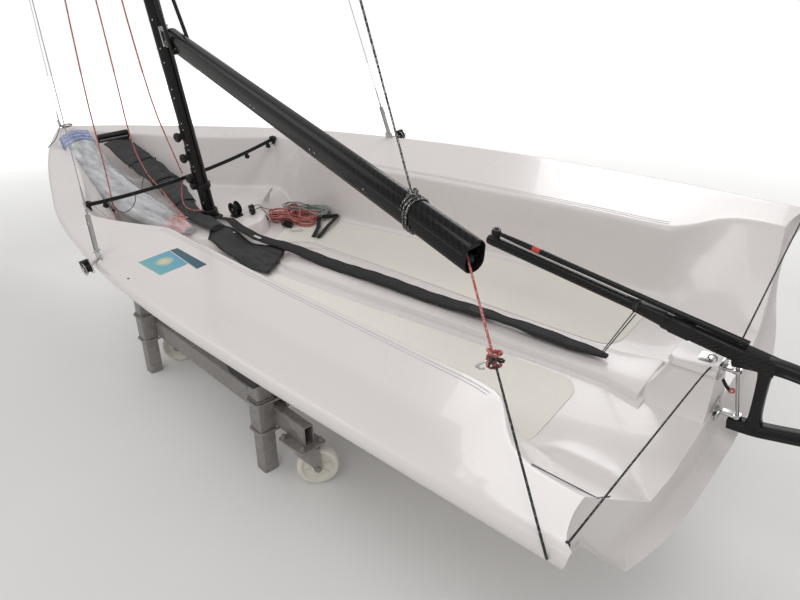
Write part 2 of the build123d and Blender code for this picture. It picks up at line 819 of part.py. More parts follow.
def cradle_pads():
    """Rubber blocks on the legs' heads, cut to the hull's flare that they bear on."""
    hull = leaning(loft([hull_section(*row) for row in SECTIONS]))
    pads = []
    for station, head, starboard in leg_sides():
        corners = ((-95, 0), (62, 0), (92, 34), (92, 260), (-135, 260), (-135, 40))
        profile = make_face(Polyline(*corners, close=True))
        block = extrude(Plane.XZ * fillet(profile.vertices().group_by(Axis.Y)[0], 12), 112)
        block = placed(Pos(station + 45, LEG_Y + 52, head) * block, starboard)
        pads.append((block - hull).solids().sort_by(Axis.Z)[0])
    return apart(pads)


def aft_caster():
    """Swivel point under the aft end of the port beam, on the floor plan."""
    return toed(Pos(1105, RAIL_Y, 0)).position


CASTERS = (
    # name, swivel x, swivel y, direction that the wheel trails in, degrees from +X
    ("aft_port", aft_caster().X, aft_caster().Y, 232),
    ("aft_starboard", aft_caster().X, 2 * CRADLE_Y - aft_caster().Y, 150),
    ("fore_port", LEGS[1][0] + 10, 385, 42),
    ("fore_starboard", LEGS[1][0] + 10, 2 * CRADLE_Y - 385, 200),
)
TRAIL = 50  # wheel axle from the swivel
PLATE_LOW = RAIL_LOW - 8


def caster_plates():
    """Top plates under the cradle, each with four nuts and the swivel pin."""
    pieces = []
    for name, x, y, trail in CASTERS:
        plate = Pos(x, y, PLATE_LOW + 4) * Box(140, 110, 8)
        pin = rod((x, y, PLATE_LOW - 14), (x, y, PLATE_LOW), 8)
        pieces.append(plate + pin)
    return apart(pieces)


def trailing(x, y, trail, piece):
    """A caster's piece made at the swivel with its trail along +X, turned and placed."""
    return Pos(x, y, 0) * Rot(0, 0, trail) * piece


def wheel_axle(x, y, trail, across=0):
    """Point on a caster's axle, moved across from the middle of its wheel."""
    a = radians(trail)
    return (x + TRAIL * cos(a) - across * sin(a), y + TRAIL * sin(a) + across * cos(a), WHEEL_RADIUS)


def caster_fork(x, y, trail):
    """Swivelling fork with its axle."""
    crown = Pos(0, 0, 171) * Cylinder(34, 10)
    web = Pos(TRAIL / 2 - 2, 0, 162.5) * Box(72, 62, 9)
    corners = (
        (-30, 166), (TRAIL + 8, 166), (TRAIL + 18, 76), (TRAIL + 10, 58), (TRAIL - 10, 58), (TRAIL - 18, 76),
    )
    face = make_face(Polyline(*corners, close=True))
    cheek = extrude(Plane.XZ * fillet(face.vertices(), 7), 4)
    cheeks = [Pos(0, 31, 0) * cheek, Pos(0, -27, 0) * cheek]
    axle = rod((TRAIL, -35, WHEEL_RADIUS), (TRAIL, 35, WHEEL_RADIUS), 6)
    fork = fused([crown, web, *cheeks, axle]) - rod((0, 0, 150), (0, 0, 200), 8.06)
    return trailing(x, y, trail, fork)


def caster_wheel(x, y, trail):
    """Nylon wheel: crowned tread, dished web and hub."""
    half = [(6.06, 22), (20, 22), (24, 12), (52, 12), (58, 20), (WHEEL_RADIUS - 4, 20), (WHEEL_RADIUS, 14)]
    outline = half + [(r, -z) for r, z in reversed(half)]
    wheel = revolve(Plane.XZ * make_face(Polyline(*outline, close=True)), Axis.Z)
    wheel = Pos(TRAIL, 0, WHEEL_RADIUS) * Rot(90, 0, 0) * wheel
    return trailing(x, y, trail, wheel)


def main():
    """Writes every sub-part to its own file."""
    os.makedirs("parts", exist_ok=True)
    hull = hull_shell()
    boat = {
        "hull_shell": hull,
        "floor_tread": floor_tread(),
        "mast_lower": mast_tube(0, MAST_LOWER_LENGTH, MAST_RADIUS, MAST_RADIUS),
        "mast_upper": mast_tube(MAST_LOWER_LENGTH, MAST_LENGTH, 30, 20),
        "mast_foot": mast_foot(),
        "mast_cleats": mast_cleats(),
        "spreaders": spreaders(),
        "shroud_port": shroud(1),
        "shroud_starboard": shroud(-1),
        "forestay": forestay(),
        "bow_fitting": bow_fitting(),
        "chainplates": seated(chainplates(), hull),
        "jib_track": seated(jib_track(), hull),
        "track_clamp": track_clamp(),
        "chute_roller": seated(chute_roller(), hull),
        "chute_sock": seated(chute_sock(), hull),
        "chute_panel": chute_panel(),
        "wrapped_sail": seated(wrapped_sail(), hull),
        "toe_strap": seated(toe_strap(), hull),
        "foot_blocks": foot_blocks(),
        "red_hank": red_hank(),
        "grey_hank": grey_hank(),
        "fore_line": cord_tube(FORE_LINE),
        "aft_line": cord_tube(AFT_LINE),
        "bar_lanyard": cord_tube(BAR_LANYARD),
        "gudgeons": seated(gudgeons(), hull),
        "pintle_rod": pintle_rod(),
        "rudder_stock": rudder_stock(),
        "tiller": tiller(),
        "tiller_joint": tiller_joint(),
        "tiller_extension": tiller_extension(),
        "rudder_blade": rudder_blade(),
        "gooseneck_bracket": gooseneck_bracket(),
        "boom_tube": boom_tube(),
        "gooseneck": gooseneck(),
        "gnav_struts": gnav_struts(),
    }
    frame = cradle_frame()
    cradle = {
        "cradle_frame": frame,
        "cradle_legs": cradle_legs(),
        "cradle_sleeves": cradle_sleeves(),
        "cradle_clamps": seated(cradle_clamps(), frame),
        "cradle_pads": cradle_pads(),
        "caster_plates": caster_plates(),
    }
    for name, x, y, trail in CASTERS:
        cradle[f"fork_{name}"] = caster_fork(x, y, trail)
        cradle[f"wheel_{name}"] = caster_wheel(x, y, trail)
    pieces = {name: leaning(piece) for name, piece in boat.items()} | cradle
    for name, piece in pieces.items():
        export_step(Pos(-ORIGIN_X, -ORIGIN_Y, 0) * piece, f"parts/{name}.step")


main()
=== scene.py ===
"""Sailing dinghy on its show cradle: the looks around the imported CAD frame, in metres.

Pieces of the boat are drawn in the hull's own frame, X forward from the transom, Y to port
and Z up from the keel line, and are then set on the cradle with the boat's lean to port.
"""

import json
import logging
import random
from bisect import bisect_right
from dataclasses import dataclass, field
from enum import Enum
from functools import cache
from math import copysign, cos, exp, pi, radians, sin, sqrt
from typing import Iterable, Sequence

import bpy
from mathutils import Matrix, Vector


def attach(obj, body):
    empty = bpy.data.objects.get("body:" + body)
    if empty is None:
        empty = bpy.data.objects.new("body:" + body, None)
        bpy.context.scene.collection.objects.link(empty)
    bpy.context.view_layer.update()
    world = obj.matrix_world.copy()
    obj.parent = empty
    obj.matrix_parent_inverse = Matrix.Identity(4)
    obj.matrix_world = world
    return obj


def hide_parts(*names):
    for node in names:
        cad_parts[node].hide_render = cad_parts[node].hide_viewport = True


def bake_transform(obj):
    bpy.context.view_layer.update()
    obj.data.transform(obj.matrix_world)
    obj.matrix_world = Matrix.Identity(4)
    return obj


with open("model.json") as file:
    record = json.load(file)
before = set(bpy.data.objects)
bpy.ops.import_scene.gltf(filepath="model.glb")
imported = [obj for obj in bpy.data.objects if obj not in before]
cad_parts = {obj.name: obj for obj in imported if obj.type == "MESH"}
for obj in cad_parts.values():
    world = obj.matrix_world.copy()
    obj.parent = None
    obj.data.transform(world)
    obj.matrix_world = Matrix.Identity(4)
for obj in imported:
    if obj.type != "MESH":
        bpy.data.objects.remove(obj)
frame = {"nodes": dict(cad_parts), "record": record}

LOG = logging.getLogger("dinghy")
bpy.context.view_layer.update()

LEVEL = Matrix.Translation((-1.6125, -0.15183, 0))
HULL = LEVEL @ Matrix.Translation((0, 0, 0.413)) @ Matrix.Rotation(radians(-9.5), 4, "X")

Point = Sequence[float]
Triple = tuple[float, float, float]
Values = dict[int | str, object]

X, Y, Z = (Vector(row) for row in ((1, 0, 0), (0, 1, 0), (0, 0, 1)))


def vec(*parts: float) -> Vector:
    """Vector of the given parts."""
    return Vector(parts)


def mm(*rows: Point) -> tuple[Point, ...]:
    """Rows of a table given in millimetres, in metres."""
    return tuple(tuple(value / 1000 for value in row) for row in rows)


class Body(Enum):
    """CAD bodies that pieces ride on."""

    HULL = "hull"
    BOOM = "boom"
    RUDDER = "rudder"
    BLADE = "blade"
    EXTENSION = "extension"


# Shader maths


class Sock:
    """One value inside a node tree, with arithmetic."""

    def __init__(self, net: "Net", socket: bpy.types.NodeSocket) -> None:
        """Wraps an output socket of a node in net."""
        self.net = net
        self.socket = socket

    def _is_vector(self, other: "Sock | float | Point") -> bool:
        """Whether this value or the other one has three parts."""
        if self.socket.type == "VECTOR" or isinstance(other, (tuple, list, Vector)):
            return True
        return isinstance(other, Sock) and other.socket.type == "VECTOR"

    def _math(self, operation: str, first: "Sock | float | Point", second: "Sock | float | Point") -> "Sock":
        """Result of one operation on two values, as a number or a vector."""
        vector = self._is_vector(first) or self._is_vector(second)
        kind = "ShaderNodeVectorMath" if vector else "ShaderNodeMath"
        values: Values = {}
        for index, value in enumerate((first, second)):
            if vector and isinstance(value, (int, float)):
                value = (value, value, value)
            values[index] = value
        return self.net.node(kind, {"operation": operation}, values)

    def __add__(self, other: "Sock | float | Point") -> "Sock":
        """Sum."""
        return self._math("ADD", self, other)

    __radd__ = __add__

    def __sub__(self, other: "Sock | float | Point") -> "Sock":
        """Difference."""
        return self._math("SUBTRACT", self, other)

    def __rsub__(self, other: float | Point) -> "Sock":
        """Difference, with this value taken off the other."""
        return self._math("SUBTRACT", other, self)

    def __mul__(self, other: "Sock | float | Point") -> "Sock":
        """Product."""
        return self._math("MULTIPLY", self, other)

    __rmul__ = __mul__

    def __truediv__(self, other: "Sock | float | Point") -> "Sock":
        """Quotient."""
        return self._math("DIVIDE", self, other)

    def __rtruediv__(self, other: float | Point) -> "Sock":
        """Quotient, with the other value over this one."""
        return self._math("DIVIDE", other, self)

    def apply(self, operation: str, other: float = 0) -> "Sock":
        """Any other Math operation on this value."""
        return self.net.node("ShaderNodeMath", {"operation": operation}, {0: self, 1: other})

    def over(self, low: float, high: float) -> "Sock":
        """Ramp from 0 at low to 1 at high, held outside that range."""
        return self.net.node("ShaderNodeMapRange", {}, {"Value": self, "From Min": low, "From Max": high})

    def part(self, axis: str) -> "Sock":
        """X, Y or Z of a vector."""
        return self.net.node("ShaderNodeSeparateXYZ", {}, {"Vector": self}, axis)


@dataclass
class Net:
    """Node tree of one material or of the world."""

    tree: bpy.types.NodeTree

    def node(
        self,
        kind: str,
        settings: dict[str, object] | None = None,
        values: Values | None = None,
        output: int | str = 0,
    ) -> Sock:
        """Adds a node.

        Args:
            kind: Blender's name of the node's type.
            settings: properties of the node.
            values: what each input socket gets, a plain value or a Sock.
            output: which output socket is wanted.

        Returns:
            The wanted output.
        """
        made = self.tree.nodes.new(kind)
        for name, value in (settings or {}).items():
            setattr(made, name, value)
        self.feed(made, values or {})
        return Sock(self, made.outputs[output])

    def feed(self, made: bpy.types.Node, values: Values) -> None:
        """Sets or links input sockets of a node."""
        for key, value in values.items():
            socket = made.inputs[key]
            if isinstance(value, Sock):
                self.tree.links.new(value.socket, socket)
            else:
                socket.default_value = value

    def place(self, kind: str = "Object") -> Sock:
        """Texture coordinate of the wanted kind."""
        return self.node("ShaderNodeTexCoord", {}, {}, kind)

    def noise(self, scale: float, detail: float = 2, at: Sock | None = None) -> Sock:
        """Noise from 0 to 1, with scale in cells per metre."""
        values = {"Vector": at or self.place(), "Scale": scale, "Detail": detail}
        return self.node("ShaderNodeTexNoise", {}, values)

    def cells(self, scale: float, output: str) -> Sock:
        """Voronoi cells, with scale in cells per metre."""
        return self.node("ShaderNodeTexVoronoi", {}, {"Vector": self.place(), "Scale": scale}, output)

    def mix(self, amount: Sock | float, first: object, second: object) -> Sock:
        """Colour between two colours."""
        values = {0: amount, 6: _rgba(first), 7: _rgba(second)}
        return self.node("ShaderNodeMix", {"data_type": "RGBA"}, values, 2)

    def bump(self, height: Sock, distance: float, strength: float = 1) -> Sock:
        """Normal of a surface raised by height, in metres at height 1."""
        values = {"Height": height, "Distance": distance, "Strength": strength}
        return self.node("ShaderNodeBump", {}, values)


def _rgba(value: object) -> object:
    """A colour with its alpha, unless it is a Sock."""
    return value if isinstance(value, Sock) else (*value[:3], 1)


# Finishes


@dataclass(frozen=True)
class Finish:
    """Look of one material; subclasses add what varies over the surface."""

    name: str
    color: Triple
    roughness: float = 0.5
    metallic: float = 0
    coat: float = 0
    slot: str = ""
    specular: float = 0.5

    @cache
    def material(self) -> bpy.types.Material:
        """Blender's material of this finish, made once."""
        made = bpy.data.materials.new(self.name)
        made.use_nodes = True
        net = Net(made.node_tree)
        shader = made.node_tree.nodes["Principled BSDF"]
        constants = {
            "Base Color": _rgba(self.color),
            "Roughness": self.roughness,
            "Metallic": self.metallic,
            "Coat Weight": self.coat,
            "Specular IOR Level": self.specular,
        }
        net.feed(shader, {**constants, **self.shade(net)})
        return made

    def tone(self, factor: float) -> list[float]:
        """The finish's colour, darker or lighter."""
        return [min(1, c * factor) for c in self.color]

    def shade(self, net: Net) -> Values:
        """Values of the shader's sockets that this finish sets in its own way."""
        blotch = net.noise(9, 3)
        return {
            "Base Color": net.mix(blotch, self.tone(0.88), self.tone(1.1)),
            "Roughness": blotch * 0.14 + (self.roughness - 0.07),
        }


@dataclass(frozen=True)
class Gelcoat(Finish):
    """Glossy moulded gelcoat, faintly uneven."""

    grime: float = 0.035

    def shade(self, net: Net) -> Values:
        """Slow waviness of the moulding and a trace of dust."""
        dust = net.noise(2.3, 3).over(0.4, 0.9)
        wave = net.noise(5, 0)
        return {
            "Base Color": net.mix(dust * self.grime * 8, self.color, self.tone(0.9)),
            "Roughness": dust * 0.12 + self.roughness,
            "Normal": net.bump(wave * 0.0012, 1, 0.4),
        }


@dataclass(frozen=True)
class Tread(Finish):
    """Moulded non-slip pattern of small raised grains."""

    def shade(self, net: Net) -> Values:
        """Grains, with the colour darker towards the edge of each grain cell."""
        grain = net.cells(260, "Distance")
        worn = net.noise(3.1, 4)
        tone = net.mix(worn, self.tone(0.94), self.color)
        return {
            "Base Color": net.mix(grain.over(0.35, 0.8) * 0.25, tone, self.tone(0.88)),
            "Roughness": worn * 0.15 + self.roughness,
            "Normal": net.bump(grain, 0.0012, 0.6),
        }


@dataclass(frozen=True)
class Carbon(Finish):
    """Twill carbon under clear coat, on surfaces with UVs in metres."""

    tow: float = 0.004

    def shade(self, net: Net) -> Values:
        """Twill: each tow passes over two and under two, shown with painted sheen on the tows."""
        at = net.place("UV")
        across, along = at.part("X") / self.tow, at.part("Y") / self.tow
        diagonal = across.apply("FLOOR") + along.apply("FLOOR")
        warp = (diagonal * 0.25).apply("FRACT").over(0.49, 0.51)
        strand = across.apply("PINGPONG", 0.5) * warp + along.apply("PINGPONG", 0.5) * (1 - warp)
        speck = net.noise(160, 2)
        # painted sheen: the tows of one direction and the middle of each tow are lighter; speck is random
        # tone
        lit = warp * 0.4 + strand * 0.4 + speck * 0.2
        return {
            "Base Color": net.mix(lit, self.color, [c * 2.2 + 0.003 for c in self.color]),
            "Roughness": warp * 0.12 + self.roughness,
            "Normal": net.bump(strand, 0.0002, 0.12),
        }


@dataclass(frozen=True)
class Metal(Finish):
    """Drawn, rolled or anodised metal with fine scratches."""

    scratch: float = 0.00006

    def shade(self, net: Net) -> Values:
        """Fine scratches and uneven sheen."""
        stretched = net.place() * (40, 600, 600)
        line = net.noise(1, 3, stretched)
        cloud = net.noise(14, 3)
        return {
            "Base Color": net.mix(cloud, self.tone(0.82), self.color),
            "Roughness": cloud * 0.2 + line * 0.08 + (self.roughness - 0.12),
            "Normal": net.bump(line, self.scratch, 0.6),
        }


@dataclass(frozen=True)
class Galvanised(Finish):
    """Hot-dip zinc with spangle and dull patches."""

    def shade(self, net: Net) -> Values:
        """Crystals of zinc, each with its own tone, under a dull bloom."""
        crystal = net.cells(70, "Color").part("X")
        bloom = net.noise(11, 5).over(0.35, 0.7)
        rust = net.noise(30, 4).over(0.68, 0.8)
        tone = net.mix(crystal, self.tone(0.78), self.tone(1.12))
        dull = net.mix(bloom * 0.6, tone, (0.36, 0.335, 0.32))
        return {
            "Base Color": net.mix(rust * 0.4, dull, (0.32, 0.22, 0.16)),
            "Roughness": bloom * 0.25 + crystal * 0.12 + self.roughness,
            "Normal": net.bump(crystal * 0.3 + net.noise(120, 3), 0.00025, 0.6),
        }


@dataclass(frozen=True)
class Cloth(Finish):
    """Woven webbing, mesh or canvas."""

    pitch: float = 0.0016
    open_weave: float = 0

    def shade(self, net: Net) -> Values:
        """Two sets of threads at right angles, in object space."""
        at = net.place() * (1 / self.pitch)
        weft = at.part("X").apply("PINGPONG", 0.5)
        warp = (at.part("Y") + at.part("Z")).apply("PINGPONG", 0.5)
        thread = weft + warp
        worn = net.noise(17, 4)
        tone = net.mix(worn, self.tone(0.7), self.tone(1.35))
        values = {
            "Base Color": net.mix(thread, self.tone(0.6), tone),
            "Roughness": worn * 0.15 + self.roughness,
            "Normal": net.bump(thread, self.pitch * 0.35, 0.7),
        }
        if self.open_weave:
            values["Alpha"] = 1 - self.open_weave * (1 - thread.over(0.2, 0.5))
        return values


@dataclass(frozen=True)
class Film(Finish):
    """Clear film over rolled cloth, with painted highlights on its creases and along the roll."""

    def shade(self, net: Net) -> Values:
        """Long cloudy streaks, partly the cloth's tone and partly painted highlight along the roll, and
        painted highlights on the film's thin creases.
        """
        along = net.place() * (4, 26, 26)
        cloud = net.noise(1, 4, along)
        crease = net.noise(2.2, 2, net.place() * (9, 16, 16)).apply("PINGPONG", 0.1) * 10
        # streaks along the roll: partly the cloth's own tone, partly painted highlight
        tone = net.mix(cloud.over(0.3, 0.72), self.tone(0.6), self.tone(1.3))
        return {
            # painted highlights: pale grey on the creases of the film
            "Base Color": net.mix(crease.over(0.93, 1) * 0.6, tone, (0.86, 0.86, 0.87)),
            "Roughness": cloud * 0.15 + self.roughness,
            "Normal": net.bump(crease * 0.4 + cloud, 0.004, 0.5),
        }


@dataclass(frozen=True)
class Card(Finish):
    """Printed film with a soft field of colour that means nothing."""

    def shade(self, net: Net) -> Values:
        """Blue fading to teal, with a sand-coloured glow off its middle."""
        at = net.place("UV")
        u, v = at.part("X"), at.part("Y")
        glow = (u - 0.55) * (u - 0.55) * 3 + (v - 0.45) * (v - 0.45) * 5
        haze = net.noise(5, 3, at)
        field = net.mix(u * 0.7 + haze * 0.3, (0.16, 0.42, 0.42), self.color)
        lit = net.mix((glow + haze * 0.25).over(0.42, 0.12), field, (0.62, 0.58, 0.34))
        return {"Base Color": lit, "Roughness": haze * 0.1 + self.roughness}


@dataclass(frozen=True)
class Braid(Finish):
    """Braided rope, with a fleck of a second colour."""

    fleck: Triple = (0.6, 0.6, 0.6)
    share: float = 0.25

    def shade(self, net: Net) -> Values:
        """Plaits as fine cells, some of them in the second colour, with painted shade in the dents between
        them.
        """
        cell = net.cells(520, "Color").part("Y")
        dent = net.cells(520, "Distance")
        flecked = cell.over(1 - self.share - 0.02, 1 - self.share)
        # painted shade: darker in the dents between plaits
        shade = net.mix(dent, self.color, self.tone(0.55))
        return {
            "Base Color": net.mix(flecked, shade, self.fleck),
            "Normal": net.bump(dent * -1, 0.0006, 0.7),
        }


@dataclass(frozen=True)
class Ground(Finish):
    """Plain pale floor that turns into the white backdrop far from the boat."""

    def shade(self, net: Net) -> Values:
        """Faint clouds near the boat, and white where the camera sees the distance."""
        at = net.place()
        far = (at.part("X") * at.part("X") + at.part("Y") * at.part("Y")).over(10, 90)
        seen = net.node("ShaderNodeLightPath", {}, {}, "Is Camera Ray")
        cloud = net.noise(1.3, 5)
        return {
            "Base Color": net.mix(cloud, self.tone(0.93), self.color),
            "Roughness": cloud * 0.1 + self.roughness,
            "Emission Color": net.mix(far * seen, (0, 0, 0), (1, 1, 1)),
            "Emission Strength": 1,
        }


GELCOAT = Gelcoat("gelcoat_white", (0.74, 0.7, 0.69), roughness=0.24, coat=0.25)
TREAD = Tread("tread_cream", (0.82, 0.785, 0.72), roughness=0.6)
CARBON = Carbon("carbon_black", (0.007, 0.007, 0.007), roughness=0.24, specular=0.25)
CARBON_WIDE = Carbon(
    "carbon_boom", (0.006, 0.006, 0.006), roughness=0.17, tow=0.006, slot="carbon_black", specular=0.2
)
ANODISED = Metal("hardware_black", (0.016, 0.016, 0.017), roughness=0.36, metallic=0.2, specular=0.3)
STAINLESS = Metal("stainless", (0.62, 0.61, 0.6), roughness=0.28, metallic=1)
ZINC = Galvanised("galvanised", (0.33, 0.31, 0.3), roughness=0.4, metallic=0.55)
RUBBER = Finish("rubber_black", (0.022, 0.022, 0.022), roughness=0.7)
NYLON = Finish("nylon_cream", (0.74, 0.71, 0.63), roughness=0.42)
MESH = Cloth("mesh_black", (0.045, 0.045, 0.048), roughness=0.75, open_weave=0.12)
STRAP = Cloth("strap_black", (0.016, 0.016, 0.018), roughness=0.7, pitch=0.0022)
TAG = Cloth("strap_tag", (0.62, 0.62, 0.6), roughness=0.7, slot="strap_black")
TAPE = Cloth("deck_tape", (0.5, 0.47, 0.44), roughness=0.6, slot="strap_black")
FILM = Film("wrapper_clear", (0.46, 0.47, 0.49), roughness=0.08, coat=0.8)
FILM_BLUE = Film("wrapper_end", (0.16, 0.22, 0.46), roughness=0.2, coat=0.8, slot="wrapper_clear")
FILM_PINK = Film("wrapper_tail", (0.66, 0.44, 0.45), roughness=0.2, coat=0.8, slot="wrapper_clear")
ROPE_RED = Braid("rope_red", (0.5, 0.085, 0.07), roughness=0.8, fleck=(0.72, 0.42, 0.38))
ROPE_PINK = Braid("rope_pink", (0.72, 0.22, 0.19), roughness=0.8, fleck=(0.8, 0.6, 0.54), slot="rope_red")
ROPE_GREY = Braid("rope_grey", (0.26, 0.31, 0.29), roughness=0.8, fleck=(0.5, 0.52, 0.46))
ROPE_BLACK = Braid("rope_black", (0.02, 0.02, 0.02), roughness=0.8, fleck=(0.2, 0.2, 0.2), share=0.12)
ROPE_FLECK = Braid(
    "rope_fleck", (0.02, 0.02, 0.02), roughness=0.8, fleck=(0.5, 0.5, 0.48), share=0.3, slot="rope_black"
)
# grey strips that stand in for the painted shade in the scribed deck grooves
GROOVE_SHADE = Finish("deck_groove_shade", (0.6, 0.57, 0.58), roughness=0.5, slot="gelcoat_white")
INK = Finish("deck_ink", (0.03, 0.04, 0.05), roughness=0.5, slot="hardware_black")
STRIPE = Finish("band_red", (0.5, 0.05, 0.04), roughness=0.4, slot="carbon_black")
CARD = Card("card_film", (0.1, 0.33, 0.5), roughness=0.3, slot="gelcoat_white")
CARD_BAND = Finish("card_band", (0.03, 0.1, 0.13), roughness=0.35, slot="gelcoat_white")

SLOTS = {
    finish.name: finish
    for finish in (
        GELCOAT, TREAD, CARBON, ANODISED, STAINLESS, ZINC, RUBBER, NYLON,
        MESH, STRAP, FILM, ROPE_RED, ROPE_GREY, ROPE_BLACK,
    )
}


def smooth_table(table: Sequence[Point], x: float, column: int = 1) -> float:
    """Value at x of a smooth curve through a table's rows.

    Args:
        table: rows whose first column rises.
        x: where the value is wanted; held at the ends.
        column: which column is wanted.

    Returns:
        The value.
    """
    keys = [row[0] for row in table]
    if x <= keys[0]:
        return table[0][column]
    if x >= keys[-1]:
        return table[-1][column]
    i = bisect_right(keys, x) - 1
    span = keys[i + 1] - keys[i]

    def slope(k: int) -> float:
        """Slope at row k, from its neighbours."""
        a, b = max(k - 1, 0), min(k + 1, len(keys) - 1)
        return (table[b][column] - table[a][column]) / (keys[b] - keys[a])

    t = (x - keys[i]) / span
    p, q = table[i][column], table[i + 1][column]
    m, n = slope(i) * span, slope(i + 1) * span
    return (
        (2 * t**3 - 3 * t**2 + 1) * p + (t**3 - 2 * t**2 + t) * m + (3 * t**2 - 2 * t**3) * q
        + (t**3 - t**2) * n
    )


def row_at(table: Sequence[Point], x: float) -> list[float]:
    """Every column after the first at x."""
    return [smooth_table(table, x, c) for c in range(1, len(table[0]))]


def blend_in(x: float, low: float, high: float) -> float:
    """Smooth step from 0 at low to 1 at high."""
    t = min(1, max(0, (x - low) / (high - low)))
    return t * t * (3 - 2 * t)


# Mesh making


@dataclass
class Shape:
    """Mesh under construction, drawn in the hull's frame."""

    verts: list[Vector] = field(default_factory=list)
    faces: list[tuple[int, ...]] = field(default_factory=list)
    uvs: list[tuple[tuple[float, float], ...]] = field(default_factory=list)

    def patch(self, verts: Iterable[Point], faces: Iterable[tuple[int, ...]]) -> None:
        """Adds points and faces with no UVs."""
        start = len(self.verts)
        self.verts += [Vector(v) for v in verts]
        for face in faces:
            self.faces.append(tuple(start + i for i in face))
            self.uvs.append(tuple((0, 0) for _ in face))

    def grid(self, rows: Sequence[Sequence[Vector]], around: bool = False, caps: bool = False) -> "Shape":
        """Quads between rows of points, with UVs in metres.

        Args:
            rows: rows of equal length.
            around: whether each row closes on itself.
            caps: whether the first and last rows are filled.
        """
        start, wide = len(self.verts), len(rows[0])
        self.verts += [v.copy() for row in rows for v in row]
        middles = [sum(row, Vector()) / wide for row in rows]
        v = 0
        for r in range(len(rows) - 1):
            step = (middles[r + 1] - middles[r]).length
            u = 0
            for c in range(wide if around else wide - 1):
                d = (c + 1) % wide
                length = (rows[r][d] - rows[r][c]).length
                a, b = start + r * wide + c, start + r * wide + d
                self.faces.append((a, b, b + wide, a + wide))
                self.uvs.append(((u, v), (u + length, v), (u + length, v + step), (u, v + step)))
                u += length
            v += step
        if caps:
            last = start + (len(rows) - 1) * wide
            for face in (tuple(range(start, start + wide))[::-1], tuple(range(last, last + wide))):
                self.faces.append(face)
                self.uvs.append(tuple((0, 0) for _ in face))
        return self

    def solid(self, rows: Sequence[Sequence[Vector]]) -> "Shape":
        """Closed body between rings of points."""
        return self.grid(rows, around=True, caps=True)

    def sweep(
        self, points: Sequence[Point], section: Sequence[Point], side: Point, sizes: Sequence[float] = ()
    ) -> "Shape":
        """Sweeps a closed section along points.

        Args:
            points: the path.
            section: points (across, up) of the section.
            side: direction that across keeps to, as near as the path allows.
            sizes: a factor on the section at each point of the path.
        """
        path = [Vector(p) for p in points]
        rows = []
        for i, p in enumerate(path):
            along = (path[min(i + 1, len(path) - 1)] - path[max(i - 1, 0)]).normalized()
            across = (Vector(side) - along * along.dot(Vector(side))).normalized()
            up = along.cross(across)
            size = sizes[i] if sizes else 1
            rows.append([p + (across * a + up * b) * size for a, b in section])
        return self.solid(rows)

    def tube(
        self, points: Sequence[Point], radius: float, sides: int = 12, sizes: Sequence[float] = ()
    ) -> "Shape":
        """Round tube along points, without a twist."""
        path = [Vector(p) for p in points]
        along = (path[1] - path[0]).normalized()
        side = along.orthogonal().normalized()
        rows = []
        for i, p in enumerate(path):
            along = (path[min(i + 1, len(path) - 1)] - path[max(i - 1, 0)]).normalized()
            side = (side - along * along.dot(side)).normalized()
            up = along.cross(side)
            r = radius * (sizes[i] if sizes else 1)
            rows.append([p + (side * cos(a) + up * sin(a)) * r for a in turns(sides)])
        return self.solid(rows)

    def hoop(self, points: Sequence[Point], radius: float, sides: int) -> "Shape":
        """Round tube along points and back to the first."""
        return self.tube([*points, points[0]], radius, sides)

    def lathe(self, profile: Sequence[Point], origin: Point, axis: Point, steps: int = 24) -> "Shape":
        """Turns a profile of (radius, height) points about an axis."""
        along = Vector(axis).normalized()
        side = along.orthogonal().normalized()
        up = along.cross(side)
        rows = [
            [Vector(origin) + along * h + (side * cos(a) + up * sin(a)) * r for a in turns(steps)]
            for r, h in profile
        ]
        return self.solid(rows)

    def prism(
        self, outline: Sequence[Point], origin: Point, across: Point, up: Point, thick: float
    ) -> "Shape":
        """Flat plate: an outline in the plane of across and up, thickened along their cross product."""
        a, b = Vector(across).normalized(), Vector(up).normalized()
        n = a.cross(b) * thick
        low = [Vector(origin) + a * u + b * v for u, v in outline]
        count = len(low)
        sides = [(i, (i + 1) % count, count + (i + 1) % count, count + i) for i in range(count)]
        self.patch(
            [*low, *(p + n for p in low)],
            [tuple(range(count))[::-1], tuple(range(count, 2 * count)), *sides]
        )
        return self

    def block(self, centre: Point, size: Point, across: Point = X, up: Point = Y) -> "Shape":
        """Box about a centre."""
        x, y, z = (s / 2 for s in size)
        normal = Vector(across).normalized().cross(Vector(up).normalized())
        origin = Vector(centre) - normal * z
        return self.prism([(-x, -y), (x, -y), (x, y), (-x, y)], origin, across, up, 2 * z)

    def mirrored(self) -> "Shape":
        """The same shape on the other side of the centre plane."""
        return Shape(flipped(self.verts), [f[::-1] for f in self.faces], [u[::-1] for u in self.uvs])

    def join(self, other: "Shape") -> "Shape":
        """Takes in another shape."""
        start = len(self.verts)
        self.verts += other.verts
        self.faces += [tuple(start + i for i in f) for f in other.faces]
        self.uvs += other.uvs
        return self

